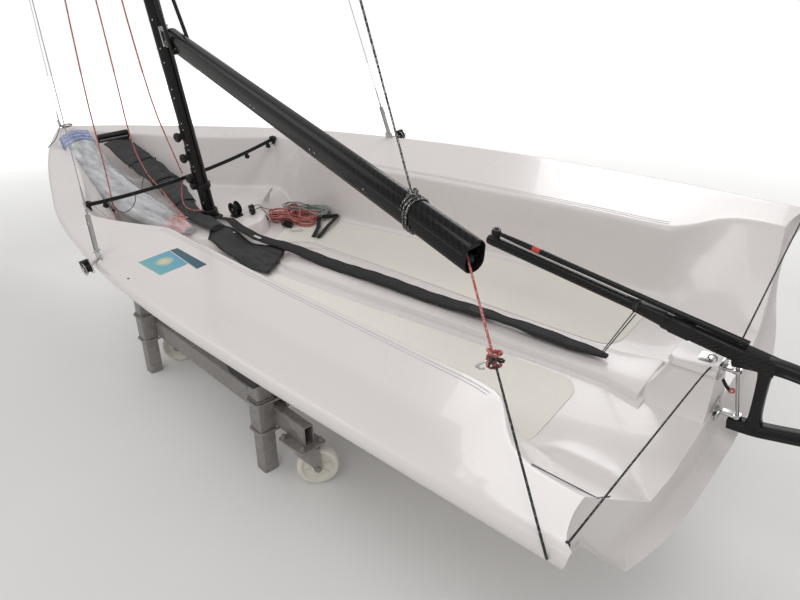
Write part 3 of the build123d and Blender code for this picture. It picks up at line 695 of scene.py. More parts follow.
    def done(
        self,
        name: str,
        finish: Finish,
        body: Body | str | None = Body.HULL,
        nodes: Sequence[str] = (),
        bevel: float = 0,
        subsurf: int = 0,
        angle: float = 32,
        place: Matrix = HULL,
        weld: float = 0,
    ) -> bpy.types.Object:
        """Makes the object, on its body.

        Args:
            name: the piece's name.
            finish: its material.
            body: the CAD body that it rides on.
            nodes: CAD nodes that it stands for.
            bevel: width of rounded edges.
            subsurf: levels of subdivision.
            angle: edges sharper than this stay sharp.
            place: the frame that the shape was drawn in.
            weld: points nearer than this become one.

        Returns:
            The object.
        """
        mesh = bpy.data.meshes.new(name)
        mesh.from_pydata(self.verts, [], self.faces)
        layer = mesh.uv_layers.new(name="UVMap")
        layer.data.foreach_set("uv", [c for face in self.uvs for uv in face for c in uv])
        mesh.transform(place)
        made = linked(name, mesh)
        if weld:
            made.modifiers.new("weld", "WELD").merge_threshold = weld
        if bevel:
            edge = made.modifiers.new("bevel", "BEVEL")
            edge.width, edge.segments, edge.angle_limit = bevel, 2, radians(30)
        if subsurf:
            made.modifiers.new("subsurf", "SUBSURF").levels = subsurf
        if made.modifiers:
            settle(made)
        made.data.polygons.foreach_set("use_smooth", [True] * len(made.data.polygons))
        made.data.set_sharp_from_angle(angle=radians(angle))
        return dressed(made, finish, body, nodes)


def linked(name: str, data: bpy.types.ID) -> bpy.types.Object:
    """New object of the given data, in the scene."""
    made = bpy.data.objects.new(name, data)
    bpy.context.scene.collection.objects.link(made)
    return made


def settle(made: bpy.types.Object) -> None:
    """Applies an object's modifiers to its mesh."""
    bpy.context.view_layer.update()
    graph = bpy.context.evaluated_depsgraph_get()
    mesh = bpy.data.meshes.new_from_object(made.evaluated_get(graph), depsgraph=graph)
    made.modifiers.clear()
    made.data = mesh


def dressed(
    made: bpy.types.Object, finish: Finish, body: Body | str | None, nodes: Sequence[str]
) -> bpy.types.Object:
    """Gives a piece its material, body and the CAD nodes that it replaces."""
    made.data.materials.clear()
    made.data.materials.append(finish.material())
    if body:
        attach(made, body.value if isinstance(body, Body) else body)
    if nodes:
        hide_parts(*nodes)
    LOG.info("piece %s on %s", made.name, body)
    return made


def flipped(points: Iterable[Vector]) -> list[Vector]:
    """Points on the other side of the centre plane."""
    return [vec(p.x, -p.y, p.z) for p in points]


def turns(steps: int) -> list[float]:
    """Angles of one full turn."""
    return [2 * pi * i / steps for i in range(steps)]


# Camera, light and floor


@dataclass
class Studio:
    """Camera of the photograph's view, soft light and a pale floor."""

    position: Triple = (-0.301, 1.443, 1.339)
    right: Triple = (-0.7388, -0.664, -0.1157)
    down: Triple = (-0.2662, 0.4452, -0.855)
    forward: Triple = (0.6192, -0.6009, -0.5056)
    lens: float = 26.93

    def build(self) -> None:
        """Makes everything that isn't the object."""
        self.camera()
        self.lights()
        self.floor()

    def camera(self) -> None:
        """Camera, given in the hull's frame."""
        data = bpy.data.cameras.new("camera")
        data.lens, data.sensor_width, data.clip_end = self.lens, 36, 200
        made = linked("camera", data)
        r, d, f = (Vector(v) for v in (self.right, self.down, self.forward))
        turn = Matrix((r, -d, -f)).transposed().to_4x4()
        made.matrix_world = HULL @ Matrix.Translation(self.position) @ turn
        bpy.context.scene.camera = made

    def lights(self) -> None:
        """Large soft lights overhead and a pale world that the camera sees as white."""
        rows = (
            # name, place, size, power
            ("key", (-2.2, 3.6, 5.4), 3.2, 95),
            ("fill", (3.6, 2.6, 5.8), 4.5, 68),
            ("back", (0.5, -4.6, 4.6), 3, 110),
        )
        for name, at, size, power in rows:
            data = bpy.data.lights.new(name, "AREA")
            data.size, data.energy = size, power
            made = linked(name, data)
            made.location = at
            made.rotation_euler = (Z * 0.6 - Vector(at)).to_track_quat("-Z", "Y").to_euler()
        world = bpy.data.worlds.new("world")
        world.use_nodes = True
        bpy.context.scene.world = world
        net = Net(world.node_tree)
        world.node_tree.nodes.clear()
        seen = net.node("ShaderNodeLightPath", {}, {}, "Is Camera Ray")
        around = net.node("ShaderNodeBackground", {}, {"Color": (0.86, 0.85, 0.84, 1), "Strength": 0.62})
        behind = net.node("ShaderNodeBackground", {}, {"Color": (1, 1, 1, 1), "Strength": 1})
        both = net.node("ShaderNodeMixShader", {}, {0: seen, 1: around, 2: behind})
        output = world.node_tree.nodes.new("ShaderNodeOutputWorld")
        net.feed(output, {"Surface": both})
        view = bpy.context.scene.view_settings
        view.view_transform = "Standard"

    def floor(self) -> None:
        """Plain pale floor with the faint cloudiness of polished concrete."""
        mesh = bpy.data.meshes.new("floor")
        s = 30
        mesh.from_pydata([(-s, -s, 0), (s, -s, 0), (s, s, 0), (-s, s, 0)], [], [(0, 1, 2, 3)])
        made = linked("floor", mesh)
        mesh.materials.append(Ground("floor_pale", (0.84, 0.84, 0.83), roughness=0.6).material())


# Ropes


@dataclass
class Hank:
    """Rope folded into loose turns of different size, bound round its middle, lying on the floor."""

    name: str
    fore: Triple
    aft: Triple
    width: float
    diameter: float
    length: float
    finish: Finish
    count: int = 9
    seed: int = 3
    pack: float = 0.7
    # loops laid over the heap: middle, long half axis, short half axis, turns
    loops: tuple[tuple[Point, Point, Point, float], ...] = ()

    def turn(self, k: int, i: int, table: Sequence[Point]) -> Vector:
        """Point i of the twenty of turn k: two round folds joined by runs that draw together."""
        reach, wide, yaw, shift = row_at(table, k + i / 20)
        fore, aft = Vector(self.fore), Vector(self.aft)
        along = (fore - aft).normalized()
        side = vec(-along.y, along.x, 0)
        ahead, across = along * cos(yaw) + side * sin(yaw), side * cos(yaw) - along * sin(yaw)
        place = i if i <= 10 else 20 - i
        run = max(-1, min(1, (5 - place) / 3))
        bend = radians(45 * (min(place, 2) if place <= 5 else max(place - 6, 2)))
        radius = self.width / 2 * wide
        half = (fore - aft).length / 2 * reach - radius
        waist = 1 - 0.45 * exp(-((run / 0.45) ** 2))
        out = copysign(radius * sin(bend) * waist, 10 - i)
        high = self.diameter * (
            0.55 + self.pack * (k + i / 20) + 0.5 * sin(2 * pi * i / 10 + 9 * yaw) * (k > 0)
        )
        return (
            (fore + aft) / 2 + ahead * (half * run + radius * cos(bend)) + across * (out + shift) + Z * high
        )

    def points(self) -> list[Vector]:
        """Control points of all turns, one after the other."""
        rng = random.Random(self.seed)
        table = [
            (
                k, rng.uniform(0.82, 0.98), rng.uniform(0.8, 1.04), rng.uniform(-0.17, 0.17),
                rng.uniform(-0.01, 0.01)
            )
            for k in range(self.count + 1)
        ]
        found = [self.turn(k, i, table) for k in range(self.count) for i in range(20)]
        for middle, long, short, count in self.loops:
            found += [self.turn(self.count - 1, i, table) + Z * (self.diameter * 1.6) for i in (1, 2, 3)]
            for i in range(round(16 * count)):
                a = 2 * pi * i / 16 + 1.5 * pi
                wander = vec(0, 0, 0.006 * i / 16 - 0.035 * max(0, cos(a)) ** 2)
                found.append(Vector(middle) + Vector(long) * cos(a) + Vector(short) * sin(a) + wander)
        return found

    def binding(self) -> bpy.types.Object:
        """Short end of the rope bound round the middle of the turns."""
        middle = (Vector(self.fore) + Vector(self.aft)) / 2
        along = (Vector(self.aft) - Vector(self.fore)).normalized()
        side = vec(-along.y, along.x, 0)
        high = self.diameter * (self.pack * self.count + 1.6) / 2
        path = []
        for i in range(52):
            a = pi * i / 8
            out = side * cos(a) * self.width * 0.4 + vec(0, 0, high * (1 + sin(a)) + self.diameter * 0.2)
            path.append(middle + along * (i / 16 - 1.6) * self.diameter + out)
        shape = Shape()
        shape.tube(path, self.diameter * 0.48, 8)
        return shape.done(f"{self.name}_binding", self.finish)

    def build(self) -> bpy.types.Object:
        points = self.points()
        made = rope(f"{self.name}_rope", points, self.diameter, self.finish, Body.HULL, [self.name])
        HULL @ points[0]
        self.binding()
        return made


@dataclass
class FreeLine:
    """Short slack line between two fittings, by the points of its route."""

    name: str
    length: float
    finish: Finish
    points: tuple[Point, ...]
    diameter: float = 0.004

    def build(self) -> bpy.types.Object:
        made = rope(f"{self.name}_cord", self.points, self.diameter, self.finish, Body.HULL, [self.name])
        return made


def rope(
    name: str,
    points: Sequence[Point],
    diameter: float,
    finish: Finish,
    body: Body = Body.HULL,
    nodes: Sequence[str] = (),
) -> bpy.types.Object:
    """Smooth rope along control points, as one open spline.

    Args:
        name: the piece's name.
        points: control points in the hull's frame.
        diameter: the rope's thickness.
        finish: its material.
        body: the CAD body that it rides on.
        nodes: CAD nodes that it stands for.

    Returns:
        The curve object.
    """
    data = bpy.data.curves.new(name, "CURVE")
    data.dimensions, data.bevel_depth, data.bevel_resolution = "3D", diameter / 2, 2
    data.resolution_u, data.use_fill_caps = 4, True
    line = data.splines.new("NURBS")
    line.points.add(len(points) - 1)
    for spot, p in zip(line.points, points):
        spot.co = (*(HULL @ Vector(p)), 1)
    line.order_u = 3
    line.use_endpoint_u = True
    return dressed(linked(name, data), finish, body, nodes)


# Hull


@dataclass
class Hull:
    """Moulded hull: skin, side decks, cockpit, bow well, open stern and what is moulded on them."""

    columns: int = 24
    floor: float = 0.15
    step: float = 0.225
    rim: float = 0.02
    camber: float = 0.03
    lip: float = 0.004
    # the stern's cut is worked into the stations up to here
    reach: float = 0.4
    # x, gunwale half-breadth, sheer, chine half-breadth, chine height, keel height
    lines: tuple[Point, ...] = mm(
        (-60, 843, 411, 580, 96, 46), (450, 859, 440, 590, 93, 24), (950, 864, 459, 590, 92, 9),
        (1450, 853, 473, 566, 97, 1), (1950, 808, 485, 508, 108, 0), (2500, 710, 501, 408, 140, 10),
        (3000, 556, 514, 290, 184, 32), (3500, 381, 525, 172, 228, 68), (3900, 214, 538, 84, 266, 116),
        (4250, 26, 552, 12, 300, 190),
    )
    # x, half-breadth of the deck's inner edge, half-breadth of the wall's foot
    edges: tuple[Point, ...] = mm(
        (0, 692, 415), (80, 690, 415), (140, 682, 416), (200, 660, 420), (250, 620, 430), (290, 572, 452),
        (350, 520, 480), (600, 508, 484), (1200, 492, 468), (1600, 472, 452), (1900, 456, 436),
        (2020, 452, 430), (2120, 480, 430), (2240, 530, 436), (2360, 574, 446), (2440, 590, 452),
        (2600, 556, 430), (2800, 470, 350), (3150, 340, 240), (3540, 220, 140), (4000, 70, 40),
        (4140, 20, 12), (4250, 12, 8),
    )
    # half-breadth, x of the end of the inside faces
    inside_end: tuple[Point, ...] = mm(
        (0, 0), (300, 0), (416, 10), (600, 30), (700, 45), (786, 30), (841, 1),
    )
    # half-breadth, x of the lip under the stern; then height, x of its sides
    lip_end: tuple[Point, ...] = mm((0, -60), (370, -50), (500, -30), (580, -10))
    side_end: tuple[Point, ...] = mm((96, -10), (200, 24), (320, 30), (405, 1))
    # share of the way up the topside, how far it is hollowed at the stern
    hollow: tuple[Point, ...] = ((0, 0), (0.4, 0.026), (0.7, 0.056), (0.86, 0.066), (0.95, 0.045), (1, 0))
    # how far out and how far down the stern's face is, from the inside's end to the lip
    face: tuple[Point, ...] = (
        (0, 0), (0.01, 0.05), (0.07, 0.38), (0.14, 0.68), (0.2, 0.82), (0.3, 0.9), (0.5, 0.95),
        (0.8, 0.985), (0.97, 0.995), (1, 1),
    )

    def stations(self) -> list[float]:
        """Where the sections are, close together at the stern and the tank's ends."""
        spans = ((0, 0.12, 6), (0.12, 0.46, 14), (0.46, 1.9, 22), (1.9, 2.7, 26), (2.7, 4, 22), (4, 4.25, 9))
        found = [a + (b - a) * i / n for a, b, n in spans for i in range(n)]
        return [*found, 4.25]

    def stretched(self, s: float, end: float) -> float:
        """X at station s on a line that ends at end instead of at 0."""
        return s if s >= self.reach else end + (self.reach - end) * s / self.reach

    def outer(self, s: float) -> list[Vector]:
        """Skin from the keel out to the gunwale's top."""
        gunwale, sheer, chine_y, chine_z, keel = row_at(self.lines, s)
        rim = min(self.rim, gunwale * 0.5)
        n = self.columns
        found = []
        for j in range(n + 1):
            if j <= 11:
                t = j / 11
                y, z = chine_y * t, keel + (chine_z - keel) * (t - 0.64 * t * (1 - t))
            elif j <= 18:
                t = (j - 11) / 7
                y = (
                    chine_y + (gunwale - rim * 0.6 - chine_y) * t
                    + 0.048 * t * (1 - t) * blend_in(s, 0.2, 1.5)
                )
                y -= smooth_table(self.hollow, t) * (1 - blend_in(s, 0, 1.5))
                z = chine_z + (sheer - 0.048 - chine_z) * t
            else:
                a = radians(-62 + 152 * (j - 18) / (n - 18))
                y, z = gunwale - rim + rim * cos(a), sheer - 0.02 + 0.024 * sin(a)
            end = smooth_table(self.lip_end, y) if j <= 11 else smooth_table(self.side_end, z)
            found.append(vec(self.stretched(s, end), y, z))
        return found

    def deck(self, s: float, y: float) -> Vector:
        """Point on the side deck."""
        gunwale, sheer = (smooth_table(self.lines, s, c) for c in (1, 2))
        edge = smooth_table(self.edges, s)
        top = gunwale - min(self.rim, gunwale * 0.5)
        drop = self.camber * blend_in(top - edge, 0, 0.3) + self.lip
        z = sheer + self.lip - drop * min(1, max(0, (top - abs(y)) / max(self.lip, top - edge - 0.018)))
        return vec(self.stretched(s, smooth_table(self.inside_end, abs(y))), y, z)

    def inner(self, s: float) -> list[Vector]:
        """Surface from the gunwale's top in over the deck, down the wall and along the floor."""
        gunwale, sheer = (smooth_table(self.lines, s, c) for c in (1, 2))
        edge, foot = smooth_table(self.edges, s), smooth_table(self.edges, s, 2)
        rim = min(self.rim, gunwale * 0.5)
        top, deck = gunwale - rim, sheer + self.lip
        edge = min(edge, top - self.lip)
        drop = self.camber * blend_in(top - edge, 0, 0.3) + self.lip
        depth = 1 - blend_in(s, 4.06, 4.15)
        base = self.floor + (self.step - self.floor) * blend_in(s, 2.44, 2.47) + 0.12 * blend_in(s, 3.6, 4.1)
        lip = deck - drop
        base = lip + (base - lip) * depth
        quarter = 1 - blend_in(s, 0.22, 0.42)
        round_top = min(0.02 - 0.012 * (1 - blend_in(s, 0, 0.2)), (top - edge) * 0.6)
        round_low = min(0.024 + 0.07 * quarter * blend_in(s, 0, 0.12), foot * 0.6)
        round_low *= 0.2 + 0.8 * blend_in(s, 0, 0.05)
        head, toe = vec(edge, lip), vec(foot, base)
        down = (toe - head).normalized() if (toe - head).length > 0.002 else vec(0, -1)
        low = min(round_low, (toe - head).length * 0.45)
        high = min(round_top, (toe - head).length * 0.45)
        found = []
        n = self.columns
        for j in range(n + 1):
            if j <= 8:
                spot = vec(top, deck).lerp(vec(edge + round_top, lip), j / 8)
            elif j <= 12:
                t = (j - 8) / 4
                spot = (
                    vec(edge + round_top, lip) * (1 - t) ** 2 + head * 2 * t * (1 - t)
                    + (head + down * high) * t * t
                )
            elif j <= 17:
                spot = (head + down * high).lerp(toe - down * low, (j - 12) / 5)
            elif j <= 20:
                t = (j - 17) / 3
                spot = (
                    (toe - down * low) * (1 - t) ** 2 + toe * 2 * t * (1 - t)
                    + vec(foot - round_low, base) * t * t
                )
            else:
                spot = vec((foot - round_low) * (1 - (j - 20) / (n - 20)), base)
            y, z = spot
            found.append(vec(self.stretched(s, smooth_table(self.inside_end, y)), y, z))
        return found

    def riser(self) -> Shape:
        """Hollow face from the inside's end down and aft to the lip under the stern."""
        shape = Shape()
        n = self.columns
        inner, outer = self.inner(0), self.outer(0)
        rows = []
        for out, down in self.face:
            row = []
            for j in range(n + 1):
                e, end = inner[j] if j else outer[n], outer[n - j]
                row.append(
                    vec(e.x + (end.x - e.x) * out, e.y + (end.y - e.y) * down, e.z + (end.z - e.z) * down)
                )
            rows.append([*row, *flipped(row[-2::-1])])
        shape.grid(rows)
        return shape

    def skin(self) -> None:
        """Outside, decks and inside in one closed surface."""
        shape = Shape()
        rows = []
        for s in self.stations():
            outer, inner = self.outer(s), self.inner(s)
            half = [*outer, *inner[1:]]
            rows.append([*half, *flipped(half[-2:0:-1])])
        shape.grid(rows, around=True)
        shape.patch(rows[-1], [tuple(range(len(rows[-1])))])
        shape.join(self.riser())
        shape.done("hull_skin", GELCOAT, nodes=["hull_shell"], subsurf=1, weld=0.0006, angle=50)

    def spine(self) -> None:
        """Raised band down the floor, with a low flange each side, up to the stern block."""
        shape = Shape()
        for wide, high, ends in ((1.22, 0.008, (0.165, 1.93)), (1, 0.026, (0.18, 1.9))):
            rows = []
            for i in range(15):
                t = i / 14
                x = ends[0] + (ends[1] - ends[0]) * t
                half = (0.068 + 0.044 * t) * wide * (1 - 0.35 * blend_in(t, 0.93, 1))
                half *= 1 + 0.5 * (1 - blend_in(t, 0, 0.09))
                top = self.floor + high * (1 - 0.9 * blend_in(t, 0.98, 1))
                rows.append([
                    vec(x, y * half, z)
                    for y, z in (
                        (-1.1, self.floor - 0.004), (1.1, self.floor - 0.004), (0.9, top), (-0.9, top)
                    )
                ])
            shape.solid(rows)
        shape.done("floor_band", GELCOAT, bevel=0.006, angle=50)

    def block(self) -> None:
        """Upstand on the centre line with an overhanging rim."""
        shape = Shape()
        rows = []
        # height, aft end, fore end, half width
        for z, low, high, half in mm(
            (140, 4, 235, 105), (152, 4, 205, 86), (175, 4, 178, 70), (220, 4, 150, 60), (284, 4, 122, 50),
            (286, 2, 132, 58), (302, 2, 126, 54),
        ):
            cut = half * 0.35
            rows.append([
                vec(x, y, z)
                for x, y in (
                    (low, -half), (high - cut, -half), (high, cut - half), (high, half - cut),
                    (high - cut, half), (low, half)
                )
            ])
        shape.solid(rows)
        shape.done("stern_upstand", GELCOAT, bevel=0.007, subsurf=1, angle=50)

    def tongue(self) -> None:
        """Raised platform under the mast, round at its aft end."""
        corner = [(2.365 - 0.14 * sin(a), 0.06 + 0.14 * cos(a)) for a in (i * pi / 16 for i in range(9))]
        half = [(2.48, 0.2), *corner]
        outline = [*half, *((x, -y) for x, y in half[::-1])]
        shape = Shape()
        # height, share by which the outline draws in
        levels = (
            (self.floor - 0.01, -0.06), (self.floor + 0.012, -0.03), (self.step - 0.012, 0),
            (self.step - 0.003, 0.02),
            (self.step, 0.06),
        )
        rows = [[vec(x + (2.48 - x) * k, y * (1 - k), z) for x, y in outline] for z, k in levels]
        shape.solid(rows)
        shape.done("mast_tongue", GELCOAT, angle=50, bevel=0.003)

    def tread(self) -> None:
        """Non-slip panels on the floor, one each side of the band, with round ends."""
        shape = Shape()
        steps = 40
        rows = []
        for i in range(steps + 1):
            t = i / steps
            x = 0.34 + (2.2 - 0.34) * (1 - cos(pi * t)) / 2
            low = (
                0.106 + 0.044 * blend_in(x, 0.4, 1.8) - 0.09 * blend_in(x, 1.9, 2.1)
                + 0.15 * blend_in(x, 2.08, 2.19)
            )
            high = smooth_table(self.edges, x, 2) - 0.032
            inset = 0.07 * (1 - sqrt(max(0, 1 - max(0, 1 - min(x - 0.34, 2.2 - x) / 0.07) ** 2)))
            low, high = low + inset, high - inset
            rows.append([vec(x, low + (high - low) * k / 4, self.floor + 0.0016) for k in range(5)])
        shape.grid(rows)
        shape.join(shape.mirrored()).done("tread_panels", TREAD, nodes=["floor_tread"])

    def groove_shades(self) -> None:
        """Grey strips of painted shade along twin scribed grooves inside the deck's inner edge."""
        shape = Shape()
        for inset in (0.026, 0.038):
            path = []
            for s in (x for x in self.stations() if 0.34 < x < 2.03):
                y = smooth_table(self.edges, s) + inset
                path.append(self.deck(s, y) + Z * 0.0004)
            shape.sweep(path, mm((-1.1, -0.4), (1.1, -0.4), (1.1, 0.3), (-1.1, 0.3)), Y)
        shape.join(shape.mirrored()).done("deck_groove_shades", GROOVE_SHADE)

    def build(self) -> None:
        """Makes the hull and what is moulded on it."""
        self.skin()
        self.spine()
        self.block()
        self.tongue()
        self.tread()
        self.groove_shades()


@dataclass
class Labels:
    """Plain printed pieces on the hull: an unlettered card, a thin line and a dot."""

    hull: Hull

    def on_deck(self, x: float, y: float, lift: float = 0.0006) -> Vector:
        """Point just above the side deck."""
        return self.hull.deck(x, y) + Z * lift

    def card(self) -> None:
        """Card on the port side deck, in blue, teal and sand tones, with a dark band beside it."""
        corners = mm((1765, 714), (1779, 586), (1612, 606), (1598, 718))
        self.quad("deck_card", corners, CARD)
        corners = mm((1779, 582), (1778, 553), (1553, 567), (1546, 610))
        self.quad("deck_card_band", corners, CARD_BAND)

    def quad(self, name: str, corners: Sequence[Point], finish: Finish) -> None:
        """Four-cornered piece of film on the deck, with UVs from 0 to 1."""
        shape = Shape()
        a, b, c, d = (Vector(p) for p in corners)
        n = 8
        rows = []
        for i in range(n + 1):
            u = i / n
            near, far = a.lerp(d, u), b.lerp(c, u)
            rows.append([self.on_deck(*near.lerp(far, k / n)) for k in range(n + 1)])
        shape.grid(rows)
        shape.uvs = [
            tuple(((k + p) / n, (i + q) / n) for p, q in ((0, 0), (1, 0), (1, 1), (0, 1)))
            for i in range(n) for k in range(n)
        ]
        shape.done(name, finish)

    def build(self) -> None:
        """Makes the card, the line and the dot."""
        self.card()
        shape = Shape()
        path = mm(
            (167, 681.5, 406.8), (138, 675.5, 398), (109, 669, 389), (74, 659, 376.2), (38, 649, 362.8),
            (40, 582, 304.5),
        )
        shape.tube(path, 0.0013, 6)
        shape.done("quarter_line", INK)
        Shape().lathe(disc(4, -1, 1.2, 1.6), self.on_deck(1.659, 0.802, 0), Z, 14).done(
            "deck_plug", INK, weld=0.0001
        )


# Spars


MAST_LEAN = radians(2.31)
MAST_FOOT = (2.53, 0.228)
PIN_RISE = 0.89


def up_mast(rise: float, forward: float = 0, port: float = 0) -> Vector:
    """Point at a rise along the mast, moved forward and to port of its centre line."""
    x, z = MAST_FOOT
    c, s = cos(MAST_LEAN), sin(MAST_LEAN)
    return vec(x - rise * s + forward * c, port, z + rise * c + forward * s)


MAST_UP = (up_mast(1) - up_mast(0)).normalized()
DROOP, SWING = radians(11.9), radians(12.5)
BOOM_OUT = vec(-cos(DROOP) * cos(SWING), cos(DROOP) * sin(SWING), -sin(DROOP))
BOOM_SIDE = vec(sin(SWING), cos(SWING), 0)
BOOM_UP = BOOM_SIDE.cross(BOOM_OUT)


def gooseneck_pin(rise: float = 0) -> Vector:
    """Point on the boom's turning axis, parallel to the mast."""
    return up_mast(PIN_RISE + rise, forward=-0.068)


def along_boom(reach: float, port: float = 0, above: float = 0) -> Vector:
    """Point along the boom, aft of its pin, moved to port of and above its centre line."""
    return gooseneck_pin() + BOOM_OUT * reach + BOOM_SIDE * port + BOOM_UP * above


def rounded(wide: float, high: float, radius: float, steps: int = 5) -> list[tuple[float, float]]:
    """Rectangle with round corners, as points about its centre."""
    found = []
    for quarter, (x, y) in enumerate(((1, 1), (-1, 1), (-1, -1), (1, -1))):
        for i in range(steps + 1):
            a = pi / 2 * (quarter + i / steps)
            found.append(
                (x * (wide / 2 - radius) + radius * cos(a), y * (high / 2 - radius) + radius * sin(a))
            )
    return found


def disc(radius: float, low: float, high: float, dome: float | None = None) -> tuple[Point, ...]:
    """Profile of a disc or nut in millimetres, up to high at its rim and to dome in its middle."""
    return mm((0, low), (radius, low), (radius, high), (0, high if dome is None else dome))


def bush(bore: float, radius: float, low: float, high: float) -> tuple[Point, ...]:
    """Profile of a bored disc in millimetres."""
    return mm((bore, low), (radius, low), (radius, high), (bore, high), (bore, low))


def bolt(shape: Shape, at: Point, axis: Point, radius: float, high: float) -> None:
    """Domed screw or rivet head."""
    profile = ((0, -0.001), (radius, -0.001), (radius, high * 0.5), (radius * 0.7, high * 0.9), (0, high))
    shape.lathe(profile, at, axis, 12)


@dataclass
class Mast:
    """Two-part carbon mast with its foot, jamming knobs, spreaders and stays."""

    radius: float = 0.033
    joint: float = 3.35
    height: float = 6.25
    hounds: float = 4.65
    knobs: tuple[float, ...] = (0.225, 0.331, 0.437)

    def section(self) -> list[tuple[float, float]]:
        """Round section with the sail track's slot aft."""
        found = []
        for i in range(44):
            a = 2 * pi * i / 44 + pi / 2
            off = abs((i + 22) % 44 - 22)
            found.append((cos(a) * (1 if off else 0.78), sin(a) * (1 if off else 0.78)))
        return found

    def tubes(self) -> None:
        """Lower and upper tubes."""
        levels = (0, 0.5, 1.5, 2.5, self.joint)
        Shape().sweep(
            [up_mast(r) for r in levels], [(a * self.radius, b * self.radius) for a, b in self.section()], Y
        ).done("mast_tube_lower", CARBON, nodes=["mast_lower"], angle=60)
        upper = Shape()
        levels = (self.joint, 4.2, 5.2, 6, self.height - 0.01, self.height)
        sizes = (0.03, 0.028, 0.0245, 0.0215, 0.02, 0.017)
        upper.sweep([up_mast(r) for r in levels], self.section(), Y, sizes)
        upper.done("mast_tube_upper", CARBON, nodes=["mast_upper"], angle=60)
        Shape().lathe(
            mm((0, -20), (34.5, -20), (34.5, 16), (31, 20), (0, 20)), up_mast(self.joint),
            up_mast(1) - up_mast(0), 32
        ).done("mast_joint_ring", ANODISED, angle=40)

    def fittings(self) -> None:
        """Foot, knobs and rivets."""
        foot = Shape()
        foot.prism(rounded(0.12, 0.09, 0.02), (2.53, 0, 0.225), X, Y, 0.006)
        foot.lathe(mm((34, 6), (43, 8), (43, 40), (40, 44), (34, 44)), up_mast(0), MAST_UP, 32)
        foot.done("mast_step", ANODISED, nodes=["mast_foot"], bevel=0.001)
        knobs = Shape()
        for rise in self.knobs:
            start = up_mast(rise, 0.01, self.radius - 0.003)
            profile = mm(
                (0, 0), (19, 0), (19, 5), (12, 8), (12, 14), (20, 17), (23, 22), (23, 31), (19, 37), (8, 38),
                (6, 34), (0, 34),
            )
            knobs.lathe(profile, start, Y, 28)
            knobs.block(
                up_mast(rise + 0.036, 0.004, self.radius - 0.001), (0.016, 0.034, 0.007), MAST_UP.cross(Y),
                MAST_UP
            )
        knobs.done("mast_knobs", ANODISED, nodes=["mast_cleats"], bevel=0.0012)
        rivets = Shape()
        for rise in (
            0.09, 0.16, 0.26, 0.285, 0.37, 0.395, 0.47, 0.5, 0.62, 0.66, 0.78, 0.84, 0.96, 1.05, 1.15, 1.23
        ):
            for a in (62, 118):
                out = vec(cos(radians(a)), sin(radians(a)), 0)
                bolt(rivets, up_mast(rise) + out * self.radius, out, 0.0032, 0.0018)
        rivets.done("mast_rivets", STAINLESS, weld=0.0001)
        track = Shape()
        for side in (-1, 1):
            path = [up_mast(r, -0.0325, side * 0.0075) for r in (0.95, 2, self.joint - 0.05)]
            track.sweep(path, rounded(0.004, 0.005, 0.0015, 2), Y)
        track.done("mast_track", ANODISED)

    def spreader_tip(self, side: int) -> Vector:
        """Outer end of a spreader."""
        return vec(2.105, side * 0.4, 2.9)

    def spreader_pair(self) -> None:
        """Swept spreaders on their bracket, with end caps."""
        arms = Shape()
        foil = [(0.017 * cos(a), 0.006 * sin(a) * (1.25 + 0.4 * cos(a)) / 1.4) for a in turns(16)]
        for side in (1, -1):
            root = up_mast(2.67, -0.03, side * 0.02)
            arms.sweep(
                [root, root.lerp(self.spreader_tip(side), 0.5), self.spreader_tip(side)], foil, X,
                (1, 0.95, 0.8)
            )
            arms.lathe(mm((0, -12), (12, -10), (13, 10), (0, 12)), self.spreader_tip(side), Z, 14)
        arms.lathe(mm((33.5, -20), (38, -18), (38, 16), (33.5, 18)), up_mast(2.67), MAST_UP, 30)
        arms.done("spreader_arms", ANODISED, nodes=["spreaders"], angle=50)

    def stays(self) -> None:
        """Shrouds with their turnbuckles, and the forestay."""
        for side, name in ((1, "shroud_port"), (-1, "shroud_starboard")):
            foot = vec(1.914, side * 0.787, 0.517)
            tip = self.spreader_tip(side) + vec(-0.008, side * 0.008, 0)
            top = up_mast(self.hounds, -0.02, side * 0.026)
            out = (tip - foot).normalized()
            wire = Shape()
            wire.tube([foot + out * 0.15, tip], 0.0016, 8)
            wire.tube([tip, top], 0.0016, 8)
            wire.lathe(mm((0, 160), (3, 162), (3.4, 200), (2.2, 235), (0, 235)), foot, out, 12)
            across = out.cross(Y).normalized()
            for k in (-1, 1):
                wire.block(foot + out * 0.066 + across * 0.0065 * k, (0.0022, 0.135, 0.013), across, out)
            for k in range(9):
                wire.lathe(disc(3.5, -3, 3), foot + out * (0.012 + 0.0135 * k), Y, 10)
            wire.lathe(
                mm((0, -12), (5.2, -12), (5.2, 0), (4, 0), (4, 24), (0, 24)), foot + out * 0.13, out, 12
            )
            ring = [
                foot + out * 0.1 + vec(cos(a), 0, sin(a)) * 0.01 + vec(0, side * 0.006, 0)
                for a in turns(16)
            ]
            wire.hoop(ring, 0.0009, 6)
            wire.done(f"{name}_wire", STAINLESS, nodes=[name], weld=0.0001)
        stay = Shape()
        top, low = up_mast(self.hounds, 0.027), vec(4.246, 0, 0.596)
        stay.tube([low.lerp(top, 0.004), top], 0.0016, 8)
        stay.lathe(mm((0, 0), (4, 2), (4, 40), (2.2, 70), (0, 70)), low, top - low, 12)
        stay.done("forestay_wire", STAINLESS, nodes=["forestay"], weld=0.0001)

    def build(self) -> None:
        """Makes the mast and what is on it."""
        self.tubes()
        self.fittings()
        self.spreader_pair()
        self.stays()
        halyard = [up_mast(r, 0.038, 0.012 * sin(r * 2.1)) for r in (0.42, 1.2, 2.2, 3.2, 4, 4.62)]
        rope("mast_halyard", halyard, 0.005, ROPE_RED)


